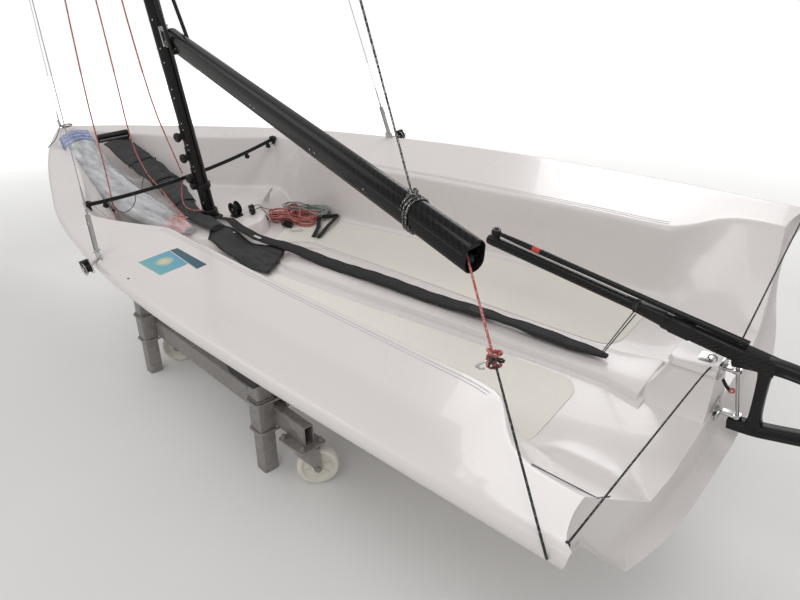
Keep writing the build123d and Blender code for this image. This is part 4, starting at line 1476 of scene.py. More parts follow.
@dataclass
class Boom:
    """Hollow carbon boom with its fittings and what is tied round it."""

    length: float = 2.05
    high: float = 0.09
    wide: float = 0.064
    wall: float = 0.004
    line: float = 0.0062
    strut_rise: float = 0.3

    def tube(self) -> None:
        """Rounded box tube, open aft."""
        shape = Shape()
        outer = rounded(self.wide, self.high, 0.029, 7)
        scale_x, scale_y = 1 - 2 * self.wall / self.wide, 1 - 2 * self.wall / self.high
        rows = []
        for reach, kx, ky in (
            (0.06, 1, 1), (0.7, 1, 1), (1.4, 1, 1), (self.length - 0.001, 1, 1), (self.length, 0.98, 0.985),
            (self.length, scale_x + 0.02, scale_y + 0.015), (self.length - 0.002, scale_x, scale_y),
            (1.4, scale_x, scale_y), (0.1, scale_x, scale_y),
        ):
            rows.append([along_boom(reach, a * kx, b * ky) for a, b in outer])
        shape.solid(rows)
        shape.done("boom_box", CARBON_WIDE, Body.BOOM, ["boom_tube"], angle=40)
        groove = Shape()
        for side in (1, -1):
            groove.sweep(
                [
                    along_boom(0.08, side * 0.0319, 0.014),
                    along_boom(self.length - 0.01, side * 0.0319, 0.014)
                ],
                rounded(0.0012, 0.004, 0.0005, 2), tuple(BOOM_SIDE),
            )
        groove.done("boom_seams", ANODISED, Body.BOOM)
        rivets = Shape()
        for reach in (0.11, 0.13, 0.16, 0.9, 0.93, 1.32, 1.35, 1.62):
            for side in (1, -1):
                bolt(rivets, along_boom(reach, side * 0.0322, -0.008), BOOM_SIDE * side, 0.0032, 0.0016)
        rivets.done("boom_rivets", STAINLESS, Body.BOOM, weld=0.0001)
        sheave = Shape()
        sheave.lathe(
            mm((0, -8), (15, -8), (12, 0), (15, 8), (0, 8)), along_boom(self.length - 0.024, 0, -0.018),
            BOOM_SIDE, 20
        )
        sheave.tube(
            [
                along_boom(self.length - 0.024, -0.029, -0.018),
                along_boom(self.length - 0.024, 0.029, -0.018)
            ], 0.003, 8
        )
        sheave.block(along_boom(self.length - 0.03, 0, 0.03), (0.05, 0.04, 0.012), BOOM_OUT, BOOM_SIDE)
        sheave.done("boom_sheave", ANODISED, Body.BOOM, bevel=0.001)

    def fittings(self) -> None:
        """Mast brackets, hub and plug, and the twin struts."""
        bracket = Shape()
        for centre in (0, self.strut_rise):
            path = [up_mast(PIN_RISE + centre + r, -0.031) for r in (-0.042, 0.042)]
            bracket.sweep(path, rounded(0.04, 0.01, 0.004, 3), Y)
            for step in (-0.034, 0.034):
                lug = rounded(0.056, 0.026, 0.011, 4)
                bracket.prism(
                    lug, up_mast(PIN_RISE + centre + step - 0.004, -0.056), MAST_UP.cross(Y), Y, 0.008
                )
            bracket.tube([gooseneck_pin(centre - 0.044), gooseneck_pin(centre + 0.044)], 0.006, 16)
            for step in (-0.046, 0.046):
                bracket.lathe(disc(9, -3, 2, 4), gooseneck_pin(centre + step), MAST_UP, 12)
        bracket.done("boom_brackets", STAINLESS, nodes=["gooseneck_bracket"], bevel=0.0008)
        hub = Shape()
        hub.lathe(bush(6.3, 15, -28, 28), gooseneck_pin(), MAST_UP, 24)
        hub.block(along_boom(0.032), (0.05, 0.024, 0.04), BOOM_OUT, BOOM_SIDE)
        hub.sweep(
            [along_boom(0.048), along_boom(0.0605)], rounded(self.wide + 0.001, self.high + 0.001, 0.029),
            tuple(BOOM_SIDE)
        )
        hub.done("boom_plug", ANODISED, Body.BOOM, ["gooseneck"], bevel=0.0012)
        strut = Shape()
        level = gooseneck_pin(self.strut_rise) + BOOM_OUT * 0.026
        for side in (1, -1):
            head = level + BOOM_SIDE * side * 0.034
            foot = along_boom(0.15, side * (self.wide / 2 + 0.009), -0.03)
            out = (foot - head).normalized()
            strut.tube([head + out * 0.02, foot - out * 0.03], 0.008, 16)
            strut.tube([head, head + out * 0.03], 0.0095, 16)
            strut.tube([foot - out * 0.035, foot], 0.0095, 16)
            strut.lathe(
                mm((0, -3), (12, -3), (12, 11), (7, 14), (0, 14)),
                along_boom(0.15, side * self.wide / 2, -0.022), BOOM_SIDE * side, 20
            )
        strut.tube([level + BOOM_SIDE * 0.038, level - BOOM_SIDE * 0.038], 0.0105, 16)
        strut.lathe(bush(6.3, 15, -26, 26), gooseneck_pin(self.strut_rise), MAST_UP, 24)
        strut.done("boom_struts", CARBON, Body.BOOM, ["gnav_struts"])

    def lines(self) -> None:
        """Black line tied round the boom and up out of sight."""
        turn = rounded(self.wide + 0.008, self.high + 0.008, 0.032, 3)
        path = []
        for k in range(3):
            for i, (a, b) in enumerate(turn):
                path.append(along_boom(1.8 + 0.012 * (k + i / len(turn)), a, b))
        rope("boom_wrap", path, self.line, ROPE_FLECK, Body.BOOM)
        knot = [
            along_boom(1.805 + 0.016 * sin(5 * a), 0.012 * cos(a), 0.055 + 0.011 * sin(a * 2))
            for a in (i * 0.42 for i in range(26))
        ]
        rope("boom_knot", knot, self.line, ROPE_FLECK, Body.BOOM)
        rope(
            "topping_line", [along_boom(1.8, 0, 0.056), up_mast(6.1, -0.05)], self.line, ROPE_FLECK,
            Body.BOOM
        )

    def build(self) -> None:
        """Makes the boom and what is on it."""
        self.tube()
        self.fittings()
        self.lines()


# Gear on the deck and floor


@dataclass
class ForeGear:
    """Cross bar, mesh sleeve and panel, roller, bow fitting, chainplates and blocks."""

    bar_x: float = 2.6
    bar_half: float = 0.546
    bar_end: float = 0.483
    bar_middle: float = 0.447
    sleeve: tuple[Point, ...] = (
        # x, y, z, width, thickness
        (2.3, 0.1, 0.25, 0.08, 0.022), (2.43, 0.09, 0.258, 0.082, 0.026), (2.56, 0.078, 0.262, 0.084, 0.03),
        (2.79, 0.008, 0.286, 0.118, 0.032), (3.1, -0.076, 0.312, 0.15, 0.034),
        (3.34, -0.088, 0.38, 0.17, 0.034),
        (3.5, -0.078, 0.452, 0.17, 0.028), (3.59, -0.07, 0.505, 0.16, 0.02),
    )

    def on_bar(self, y: float, above: float = 0, forward: float = 0) -> Vector:
        """Point on the bowed cross bar."""
        t = y / self.bar_half
        return vec(
            self.bar_x + forward, y, self.bar_middle + (self.bar_end - self.bar_middle) * t * t + above
        )

    def bar(self) -> None:
        """T-section bar with end caps, small blocks and its clamp to the mast."""
        shape = Shape()
        stations = [self.bar_half * (i / 12 - 1) for i in range(25)]
        section = [
            (-0.013, 0.006), (-0.013, 0.001), (-0.004, 0.001), (-0.004, -0.008), (0.004, -0.008),
            (0.004, 0.001), (0.013, 0.001), (0.013, 0.006), (0.009, 0.008), (-0.009, 0.008)
        ]
        shape.sweep([self.on_bar(y) for y in stations], section[::-1], X)
        for side in (1, -1):
            y = side * (self.bar_half - 0.006)
            shape.prism(rounded(0.042, 0.03, 0.012, 4), self.on_bar(y, -0.006), X, Y, 0.018)
            shape.lathe(disc(7, 0, 4, 6), self.on_bar(y, 0.012), Z, 14)
            shape.block(self.on_bar(y, -0.018, 0), (0.022, 0.012, 0.026))
        for y in (-0.34, -0.49, 0.47):
            shape.lathe(mm((0, -7), (12, -7), (9, 0), (12, 7), (0, 7)), self.on_bar(y, -0.02, -0.012), X, 18)
            shape.block(self.on_bar(y, -0.01, -0.012), (0.01, 0.014, 0.018))
        shape.done("cross_bar", ANODISED, nodes=["jib_track"], bevel=0.0008)
        clamp = Shape()
        along = up_mast(1) - up_mast(0)
        clamp.lathe(mm((33.5, -16), (41, -14), (41, 12), (33.5, 14)), up_mast(0.176), along, 30)
        clamp.sweep([up_mast(0.176, 0.03), self.on_bar(0, -0.004, -0.01)], rounded(0.044, 0.014, 0.004, 3), Y)
        clamp.lathe(mm((0, 0), (18, 0), (21, 6), (19, 22), (0, 24)), up_mast(0.186, 0.004, 0.036), Y, 22)
        clamp.done("cross_bar_clamp", ANODISED, nodes=["track_clamp"], bevel=0.001)
        slots = Shape()
        for i in range(22):
            y = -0.46 + 0.92 * i / 21
            if abs(y) > 0.06:
                slots.lathe(disc(2.8, 0, 0.6, 0.7), self.on_bar(y, 0.008), Z, 10)
        slots.done("cross_bar_holes", STAINLESS)
        # along the bar, above it, forward of it
        spots = (
            (0.27, 0.01, 0.01), (0.25, 0.045, 0.03), (0.19, 0.072, 0.045), (0.13, 0.06, 0.04),
            (0.1, 0.022, 0.018), (0.09, 0.008, 0.008)
        )
        loop = [self.on_bar(*spot) for spot in spots]
        rope("bar_loop", loop, 0.004, ROPE_BLACK)
        tail = [
            self.on_bar(0.47, -0.018, 0.012), self.on_bar(0.45, -0.045, 0.05), vec(2.69, 0.405, 0.405),
            vec(2.741, 0.392, 0.372)
        ]
        rope("bar_tail", tail, 0.004, ROPE_BLACK)
        Shape().lathe(
            [(0.008 * sin(a), -0.008 * cos(a)) for a in (i * pi / 8 for i in range(9))], tail[-1], Z, 14
        ).done("bar_tail_ball", ANODISED, weld=0.0002, angle=80)

    def along_sleeve(self, x: float) -> tuple[Vector, Vector, Vector, float, float]:
        """Middle of the sleeve at x, the directions ahead and across, its width and its thickness."""
        y, z, wide, thick = row_at(self.sleeve, x)
        ahead = vec(0.02, smooth_table(self.sleeve, x + 0.02) - y, 0).normalized()
        return vec(x, y, z), ahead, vec(-ahead.y, ahead.x, 0), wide, thick

    def sock(self) -> None:
        """Mesh sleeve, slack between the roller and the mast, and its hems."""
        rng = random.Random(5)
        shape = Shape()
        rows = []
        steps = 90
        for i in range(steps + 1):
            x = self.sleeve[0][0] + (self.sleeve[-1][0] - self.sleeve[0][0]) * i / steps
            middle, _, side, wide, thick = self.along_sleeve(x)
            crease = 0.005 * sin(x * 46 + 2 * sin(x * 9)) + rng.uniform(-0.0012, 0.0012)
            row = []
            for a in turns(28):
                ripple = 0.12 * sin(x * 61 + 3 * cos(a)) + 0.1 * sin(3 * a + x * 13)
                out = wide / 2 * cos(a) * (1 + 0.04 * sin(x * 37))
                up = thick / 2 * sin(a) * (1 + ripple * 2.2) + crease * sin(a + 0.8)
                row.append(middle + side * out + Z * up)
            rows.append(row)
        shape.solid(rows)
        sleeve = shape.done("mesh_sleeve", MESH, nodes=["chute_sock"], angle=80)
        hems = Shape()
        for x in (3.1, 3.36, 2.72):
            middle, ahead, side, wide, thick = self.along_sleeve(x)
            ring = [
                middle + side * (wide / 2 + 0.004) * cos(a) + Z * ((thick / 2 + 0.006) * sin(a))
                for a in turns(28)
            ]
            hems.sweep([*ring, ring[0]], rounded(0.016, 0.002, 0.0009, 1), ahead)
        hems.done("sleeve_hems", STRAP)

    def panel(self) -> None:
        """Mesh panel lying over the floor and the tongue's edge, with a hem all round."""
        corners = mm((2395, 66), (2270, 176), (1800, 186), (1903, 8))
        n = 34
        a, b, c, d = (Vector(p) for p in corners)
        rows = []
        for i in range(n + 1):
            u = i / n
            near, far = a.lerp(d, u), b.lerp(c, u)
            row = []
            for k in range(n + 1):
                v = k / n
                x, y = near.lerp(far, v)
                fold = (
                    0.006 * sin(9 * u + 5 * v) + 0.004 * sin(23 * v - 7 * u) * u
                    + 0.0025 * sin(37 * u * v + 4)
                )
                drape = (
                    0.178 + 0.056 * blend_in(x, 2.12, 2.27)
                    - 0.014 * blend_in(v, 0.7, 1) * blend_in(u, 0.35, 0.6)
                )
                row.append(vec(x, y, drape + fold))
            rows.append(row)
        made = Shape().grid(rows).done("mesh_panel", MESH, nodes=["chute_panel"], angle=80)
        hem = Shape()
        edge = [*rows[0], *(r[-1] for r in rows[1:]), *rows[-1][-2::-1], *(r[0] for r in rows[-2::-1])]
        hem.sweep(edge[::2], rounded(0.014, 0.0024, 0.001, 1), (0.3, 0.9, 0.05))
        hemmed = hem.done("panel_hem", STRAP)

    def fixed(self) -> None:
        """Roller and its brackets, bow fitting and chainplates."""
        centre, along = vec(3.61, -0.07, 0.54), vec(0.45, 0.893, 0)
        roller = Shape()
        roller.lathe(disc(17, -88, 88), centre, along, 26)
        roller.block(centre - Z * 0.026, (0.046, 0.196, 0.008), (0.893, -0.45, 0), along)
        for side in (1, -1):
            roller.block(
                centre + along * side * 0.089 - Z * 0.008, (0.03, 0.008, 0.036), (0.893, -0.45, 0), along
            )
            roller.lathe(disc(10, 0, 4, 6), centre + along * side * 0.093, along * side, 16)
        roller.done("sleeve_roller", ANODISED, nodes=["chute_roller"], bevel=0.0015)
        bow = Shape()
        bow.prism(rounded(0.09, 0.024, 0.008), (4.225, 0, 0.557), X, Y, 0.005)
        bow.prism(rounded(0.04, 0.036, 0.012), (4.255, 0.0025, 0.58), X, Z, 0.005)
        bolt(bow, (4.195, 0, 0.562), Z, 0.005, 0.003)
        bow.done("bow_plate", STAINLESS, nodes=["bow_fitting"], bevel=0.0008)
        plates = Shape()
        wheel = Shape()
        plates.prism(rounded(0.046, 0.042, 0.012), (1.914, 0.7895, 0.494), X, Z, 0.005)
        plates.sweep(
            mm((1914, 790, 487), (1896, 822, 486), (1884, 842, 484)), rounded(0.014, 0.005, 0.002, 2), X
        )
        plates.tube(mm((1914, 774, 517), (1914, 800, 517)), 0.004, 10)
        hub = vec(1.884, 0.848, 0.483)
        wheel.lathe(
            mm((0, -11), (19, -11), (21, -8), (16, -3), (16, 3), (21, 8), (19, 11), (0, 11)), hub, Y, 26
        )
        wheel.block(hub + vec(0.006, 0, 0.02), (0.018, 0.03, 0.016))
        for k in (-1, 1):
            ring = [hub + vec(0.0245 * cos(a), 0.012 * k, 0.0245 * sin(a)) for a in turns(24)]
            plates.hoop(ring, 0.0016, 6)
        plates.lathe(disc(6, 0, 3, 4), hub + vec(0, 0.011, 0), Y, 14)
        plates.join(plates.mirrored()).done("shroud_plates", STAINLESS, nodes=["chainplates"], bevel=0.0006)
        wheel.join(wheel.mirrored()).done("gunwale_blocks", ANODISED, bevel=0.001)
        blocks = Shape()
        rings = Shape()
        blocks.prism(rounded(0.06, 0.05, 0.01), (2.4, -0.077, 0.225), X, Y, 0.008)
        hub = vec(2.4, -0.077, 0.267)
        blocks.lathe(mm((0, -16), (22, -16), (20, -4), (20, 4), (22, 16), (0, 16)), hub, Y, 26)
        for k in (-1, 1):
            blocks.lathe(
                mm((0, 0), (30, 0), (36, 2), (36, 6), (31, 9), (24, 9), (22, 4), (0, 4)),
                hub + vec(0, 0.012 * k, 0), (0, k, 0), 30
            )
            bolt(rings, hub + vec(0, 0.017 * k, 0), (0, k, 0), 0.007, 0.003)
        for x, y in ((2.38, -0.152), (2.33, -0.122)):
            hub = vec(x, y - 0.009, 0.244)
            blocks.lathe(
                mm((0, -10), (16, -10), (16, -6), (11, -3), (11, 3), (16, 6), (16, 10), (0, 10)), hub, Y, 22
            )
            blocks.block(hub - Z * 0.012, (0.014, 0.016, 0.016))
            rings.tube([hub + vec(0, -0.0125, 0), hub + vec(0, 0.0125, 0)], 0.003, 10)
            rings.block(hub - Z * 0.019, (0.018, 0.022, 0.002))
        blocks.done("turning_blocks", ANODISED, nodes=["foot_blocks"], bevel=0.001)
        rings.done("turning_block_pins", STAINLESS, bevel=0.0004)

    def build(self) -> None:
        """Makes the gear forward of the cockpit."""
        self.bar()
        self.sock()
        self.panel()
        self.fixed()


@dataclass
class WrappedSail:
    """Sail rolled up in clear film, tied at both ends."""

    # x, y, z, width, height
    line: tuple[Point, ...] = mm(
        (2400, 186, 252, 40, 30), (2440, 192, 262, 66, 52), (2560, 200, 272, 100, 74),
        (2700, 204, 286, 134, 90), (3050, 186, 330, 166, 100), (3450, 150, 420, 164, 96),
        (3640, 116, 500, 158, 88), (3740, 94, 552, 150, 70), (3768, 86, 566, 146, 52),
    )

    def at(self, x: float, grow: float = 0) -> list[Vector]:
        """One upright, creased section of the roll."""
        y, z, wide, high = row_at(self.line, x)
        row = []
        for a in turns(56):
            fold = 0.034 * sin(a * 5 + x * 5) + 0.03 * sin(a * 9 - x * 8) + 0.014 * sin(a * 2 + x * 40)
            fold += 0.016 * sin(a * 17 + 12 * sin(x * 3)) + 0.006 * sin(x * 120 + a * 3)
            k = 1 + fold * blend_in(x, 2.42, 2.66)
            row.append(
                vec(x, y + 0.012 + (wide * 0.59 + grow) * cos(a) * k, z + (high / 2 + grow) * sin(a) * k)
            )
        return row

    def build(self) -> None:
        """Makes the roll, the ties and the blue gathered end."""
        start, end = self.line[0][0], self.line[-1][0]
        made = Shape().grid(
            [self.at(start + (end - start) * i / 150) for i in range(151)], around=True, caps=True
        ).done("sail_roll", FILM, nodes=["wrapped_sail"], angle=70)
        Shape().grid(
            [self.at(3.66 + 0.112 * i / 22, 0.0015 + 0.002 * sin(i)) for i in range(23)], around=True
        ).done("sail_roll_end", FILM_BLUE, angle=70)
        Shape().grid([self.at(2.405 + 0.12 * i / 14, 0.001) for i in range(15)], around=True).done(
            "sail_roll_tail", FILM_PINK, angle=70
        )
        ring = [
            vec(2.452 + 0.022 * cos(a), 0.19 + 0.026 * sin(a), 0.306 + 0.004 * cos(2 * a))
            for a in turns(20)
        ]
        rope("sail_tie", [*ring, ring[0], ring[1]], 0.005, ROPE_PINK)
        ring = [
            vec(2.492 + 0.02 * cos(a), 0.196 + 0.024 * sin(a), 0.313 + 0.003 * sin(3 * a))
            for a in turns(20)
        ]
        rope("sail_tie_loop", [*ring, ring[0]], 0.005, ROPE_PINK)


@dataclass
class ToeStrap:
    """Padded strap down the middle of the floor, narrow where it is stitched, lashed to the tiller."""

    # x, y, z, width, thickness
    line: tuple[Point, ...] = mm(
        (318, 0, 196, 20, 10), (345, 0, 197, 34, 12), (420, 0, 198, 50, 14), (560, 0, 199, 56, 14),
        (700, 0, 197, 44, 9), (780, 0, 196, 60, 12), (1200, 0, 190, 62, 13), (1600, 0, 191, 62, 13),
        (1900, 4, 200, 54, 11), (2060, 18, 210, 50, 9), (2240, 20, 238, 48, 8), (2325, 10, 252, 44, 7),
    )

    def build(self) -> None:
        """Makes the strap, its stitching, the tag and the patch."""
        shape = Shape()
        rows, stitch = [], {1: [], -1: []}
        n = 150
        for i in range(n + 1):
            x = self.line[0][0] + (self.line[-1][0] - self.line[0][0]) * i / n
            y, z, wide, thick = row_at(self.line, x)
            sag = 0.004 * sin(x * 11) + 0.0012 * sin(x * 53)
            twist = 0.1 * sin(x * 3.1)
            section = rounded(wide, thick, thick * 0.48, 3)
            pucker = 1 + 0.05 * sin(x * 160)
            rows.append([
                vec(
                    x, y + a * cos(twist) - b * sin(twist),
                    z + sag + a * sin(twist) + b * pucker * cos(twist)
                )
                for a, b in section
            ])
            for side in (1, -1):
                stitch[side].append(
                    vec(x, y + side * wide * 0.36, z + sag + side * wide * 0.36 * sin(twist) + thick * 0.5)
                )
        shape.solid(rows)
        made = shape.done("padded_strap", STRAP, nodes=["toe_strap"], angle=60)
        seam = Shape()
        for side in (1, -1):
            seam.tube(stitch[side][4:-3], 0.0009, 5)
        seam.done("strap_seams", ANODISED)
        end = Shape()
        path = mm((2300, 12, 249), (2350, 8, 250), (2420, 4, 240), (2485, 0, 236))
        end.sweep(path, rounded(0.036, 0.003, 0.001, 1), Y, (1.15, 0.9, 0.7, 0.55))
        end.done("strap_front", STRAP)
        Shape().prism(rounded(0.05, 0.014, 0.003), (2.075, 0.03, 0.2185), (1, 0.02, 0.1), Y, 0.0012).done(
            "strap_tag", TAG
        )
        Shape().prism(rounded(0.066, 0.04, 0.019), (0.8, 0, 0.205), X, Y, 0.0012).done("strap_patch", RUBBER)


@dataclass
class Pile:
    """Blocks, handle and loose loop lying with the two ropes."""

    def cluster(self, blocks: Shape, pins: Shape, at: Point, axis: Point, radius: float = 0.017) -> None:
        """Small double block with its pin and a bright head."""
        out = Vector(axis).normalized()
        for k in (-1, 1):
            blocks.lathe(
                (
                    (0, -0.006), (radius, -0.006), (radius * 1.06, -0.003), (radius * 0.74, 0),
                    (radius * 1.06, 0.003), (radius, 0.006), (0, 0.006)
                ),
                Vector(at) + out * 0.008 * k, out, 20,
            )
        up = Z if abs(out.z) < 0.9 else X
        side = out.cross(up).normalized()
        blocks.block(Vector(at) + side * radius * 1.2, (0.012, 0.026, 0.018), side, out)
        pins.tube([Vector(at) - out * 0.0165, Vector(at) + out * 0.0165], 0.0032, 10)
        pins.block(Vector(at) + side * radius * 2, (0.016, 0.006, 0.011), side, out)

    def build(self) -> None:
        """Makes them."""
        blocks, pins = Shape(), Shape()
        self.cluster(blocks, pins, (2.345, -0.206, 0.171), (0.3, 0.2, 0.9))
        self.cluster(blocks, pins, (2.312, -0.236, 0.172), (0.9, 0.1, 0.3), 0.014)
        self.cluster(blocks, pins, (2.186, -0.218, 0.17), (0.2, 0.7, 0.6))
        self.cluster(blocks, pins, (2.152, -0.216, 0.168), (0.8, 0.5, 0.2), 0.014)
        for k, (x, y) in enumerate(((2.078, -0.202), (2.098, -0.19), (2.06, -0.214))):
            ring = [
                vec(x + 0.01 * cos(a), y + 0.007 * sin(a), 0.1575 + 0.003 * sin(a + k)) for a in turns(14)
            ]
            pins.hoop(ring, 0.0017, 6)
        blocks.done("pile_blocks", ANODISED, bevel=0.0008)
        pins.done("pile_pins", STAINLESS, weld=0.0001)
        handle = Shape()
        ribbon = rounded(0.022, 0.005, 0.002, 2)
        a, b, c = vec(1.994, -0.418, 0.172), vec(2.062, -0.346, 0.176), vec(1.902, -0.196, 0.16)
        handle.sweep([b, a, a.lerp(c, 0.05)], ribbon, (0.2, 0.2, 1))
        handle.sweep([a, a.lerp(c, 0.5) + Z * 0.003, c], ribbon, (0.9, 0.4, 0))
        handle.sweep([b, b.lerp(c, 0.5) + Z * 0.002, c + vec(0.03, 0.004, 0)], ribbon, (0.9, 0.4, 0))
        handle.done("web_handle", STRAP, bevel=0.0006)


# Stern


@dataclass
class SternGear:
    """Rudder stock with its pin and hangers, tiller, extension, blade and the lines at the stern."""

    pin_low: Triple = (-0.054, 0, 0.153)
    pin_top: Triple = (-0.033, 0, 0.298)
    pivot: Triple = (-0.392, 0, 0.198)
    joint: float = 0.79
    lift: float = 0.034
    bridle: float = 0.0045

    def on_pin(self, rise: float) -> Vector:
        """Point on the rudder's turning axis."""
        low, top = Vector(self.pin_low), Vector(self.pin_top)
        return low + (top - low).normalized() * rise

    def on_tiller(self, reach: float, above: float = 0) -> Vector:
        """Point along the tiller, forward of its root."""
        root, front = vec(-0.06, 0, 0.34), vec(0.746, 0, 0.498)
        along = (front - root).normalized()
        return root + along * reach + vec(-along.z, 0, along.x) * above

    def hangers(self) -> None:
        """Pin, upper and lower hangers and the clip on the pin."""
        Shape().tube([self.on_pin(-0.026), self.on_pin(0.168)], 0.005, 14).done(
            "rudder_pin", STAINLESS, nodes=["pintle_rod"]
        )
        axis = self.on_pin(1) - self.on_pin(0)
        steel = Shape()
        for x, z, size in ((-0.033, 0.298, 0.046), (-0.054, 0.153, 0.04)):
            steel.block((0.001, 0, z - 0.01), (0.006, 0.07, size))
            steel.sweep([(0.004, 0, z - 0.01), (x, 0, z - 0.01)], rounded(0.026, 0.008, 0.003, 2), Y)
            steel.lathe(bush(5.2, 13, -5, 5), (x, 0, z - 0.01), axis, 22)
            for y in (-0.025, 0.025):
                for k in (-1, 1):
                    bolt(steel, (-0.002, y, z - 0.01 + k * size * 0.3), (-1, 0, 0), 0.005, 0.003)
        steel.lathe(
            mm((0, -1), (26, -1), (26, 4), (20, 7), (0, 7)), (-0.004, 0, 0.128), (-0.94, 0, -0.34), 24
        )
        steel.done("rudder_hangers", STAINLESS, nodes=["gudgeons"], bevel=0.0008)
        Shape().sweep(
            mm((-10, 30, 270), (-20, 33, 256), (-34, 32, 240)), rounded(0.012, 0.005, 0.002, 2), Y
        ).done("pin_clip", ANODISED)
        Shape().lathe(
            mm((0, -6), (7, -6), (8, 0), (7, 6), (0, 6)), (-0.036, 0.032, 0.244), (0, 1, 0.3), 14
        ).done("pin_clip_ball", ROPE_RED)

    def stock(self) -> None:
        """Open frame with rounded, pocketed arms."""
        across = 0.017
        members = (
            # name, then points x, z, then depth at each point
            (
                "upper", ((-0.018, 0.322), (-0.075, 0.332), (-0.15, 0.333), (-0.3, 0.309), (-0.395, 0.29)),
                (0.036, 0.044, 0.036, 0.034, 0.046)
            ),
            (
                "post", ((-0.097, 0.33), (-0.096, 0.29), (-0.096, 0.17), (-0.098, 0.128)),
                (0.05, 0.03, 0.03, 0.05)
            ),
            (
                "lower", ((-0.036, 0.116), (-0.1, 0.122), (-0.16, 0.134), (-0.32, 0.171), (-0.395, 0.186)),
                (0.032, 0.038, 0.036, 0.04, 0.052)
            ),
            ("aft", ((-0.374, 0.3), (-0.382, 0.24), (-0.384, 0.178)), (0.11, 0.092, 0.104)),
        )
        shape = Shape()
        for name, points, depths in members:
            path = self.curve(points, 26)
            sizes = self.curve([(i, d) for i, d in enumerate(depths)], 26)
            rows = []
            for i, (x, z) in enumerate(path):
                a, b = path[max(i - 1, 0)], path[min(i + 1, len(path) - 1)]
                along = vec(b[0] - a[0], 0, b[1] - a[1]).normalized()
                out = vec(-along.z, 0, along.x)
                deep = sizes[i][1]
                pocket = 0 if name in ("post", "aft") else 0.006 * blend_in(min(i, len(path) - 1 - i), 3, 6)
                half = []
                for k in range(13):
                    t = k / 12 * 2 - 1
                    edge = sqrt(max(0, 1 - max(0, (abs(t) - 0.72) / 0.28) ** 2))
                    y = across * (0.42 + 0.58 * edge) - pocket * (1 - blend_in(abs(t), 0.3, 0.46))
                    half.append((t * deep / 2, y))
                section = [*half, *((u, -y) for u, y in half[::-1])]
                rows.append([vec(x, 0, z) + out * u + vec(0, y, 0) for u, y in section])
            shape.solid(rows)
        shape.done("rudder_frame", ANODISED, Body.RUDDER, ["rudder_stock"], angle=60)
        bolts = Shape()
        for side in (1, -1):
            bolt(bolts, (self.pivot[0], side * 0.017, self.pivot[2]), (0, side, 0), 0.011, 0.005)
            bolt(bolts, (-0.097, side * 0.0165, 0.322), (0, side, 0), 0.006, 0.003)
        bolts.done("rudder_bolts", STAINLESS, Body.RUDDER)

    def curve(self, points: Sequence[Point], steps: int) -> list[tuple[float, float]]:
        """Smooth curve through points given as pairs."""
        table = [(i, *p) for i, p in enumerate(points)]
        last = len(points) - 1
        return [
            (smooth_table(table, last * i / steps, 1), smooth_table(table, last * i / steps, 2))
            for i in range(steps + 1)
        ]

    def tiller(self) -> None:
        """Tiller tube with its square sleeve, joint and the extension folded over it."""
        tube = Shape()
        tube.tube(
            [self.on_tiller(r) for r in (0.02, 0.25, 0.5, 0.8, 0.812, 0.815)], 0.017, 30,
            (1, 1, 1, 1, 0.93, 0.8)
        )
        tube.sweep(
            [self.on_tiller(r) for r in (-0.06, -0.057, 0.226, 0.23)], rounded(0.046, 0.044, 0.009, 4), Y,
            (0.93, 1, 1, 0.93)
        )
        tube.done("tiller_tube", CARBON, Body.RUDDER, ["tiller"], angle=45)
        band = Shape()
        band.sweep(
            [self.on_tiller(r) for r in (0.15, 0.152, 0.206, 0.208)], rounded(0.05, 0.048, 0.01, 4), Y,
            (0.96, 1, 1, 0.96)
        )
        band.sweep([self.on_tiller(0.226), self.on_tiller(0.3)], rounded(0.03, 0.036, 0.01, 4), Y, (1.25, 1))
        band.done("tiller_sleeve", ANODISED, Body.RUDDER, angle=40)
        joint = Shape()
        up = self.on_tiller(0, 1) - self.on_tiller(0)
        joint.lathe(
            mm((0, 10), (14, 12), (15, 18), (6.8, 21), (6.8, 48), (0, 50)), self.on_tiller(self.joint), up,
            20
        )
        joint.done("tiller_stub", RUBBER, Body.RUDDER, ["tiller_joint"])
        arm = Shape()
        reach = [self.joint - 0.77 * i / 20 for i in range(21)]
        sizes = [
            0.72 + 0.28 * blend_in(i, 0, 3) - 0.1 * blend_in(i, 3, 9) + 0.08 * blend_in(i, 14, 18)
            for i in range(21)
        ]
        arm.tube([self.on_tiller(r, self.lift) for r in reach], 0.0092, 18, sizes)
        arm.lathe(
            mm((7.2, -12), (13, -12), (15.5, -4), (15.5, 4), (13, 12), (7.2, 12), (7.2, -12)),
            self.on_tiller(self.joint, self.lift), up, 24
        )
        arm.done("extension_tube", CARBON, Body.EXTENSION, ["tiller_extension"], angle=45)
        Shape().tube([self.on_tiller(0.655, self.lift), self.on_tiller(0.628, self.lift)], 0.0095, 18).done(
            "extension_band", STRIPE, Body.EXTENSION
        )

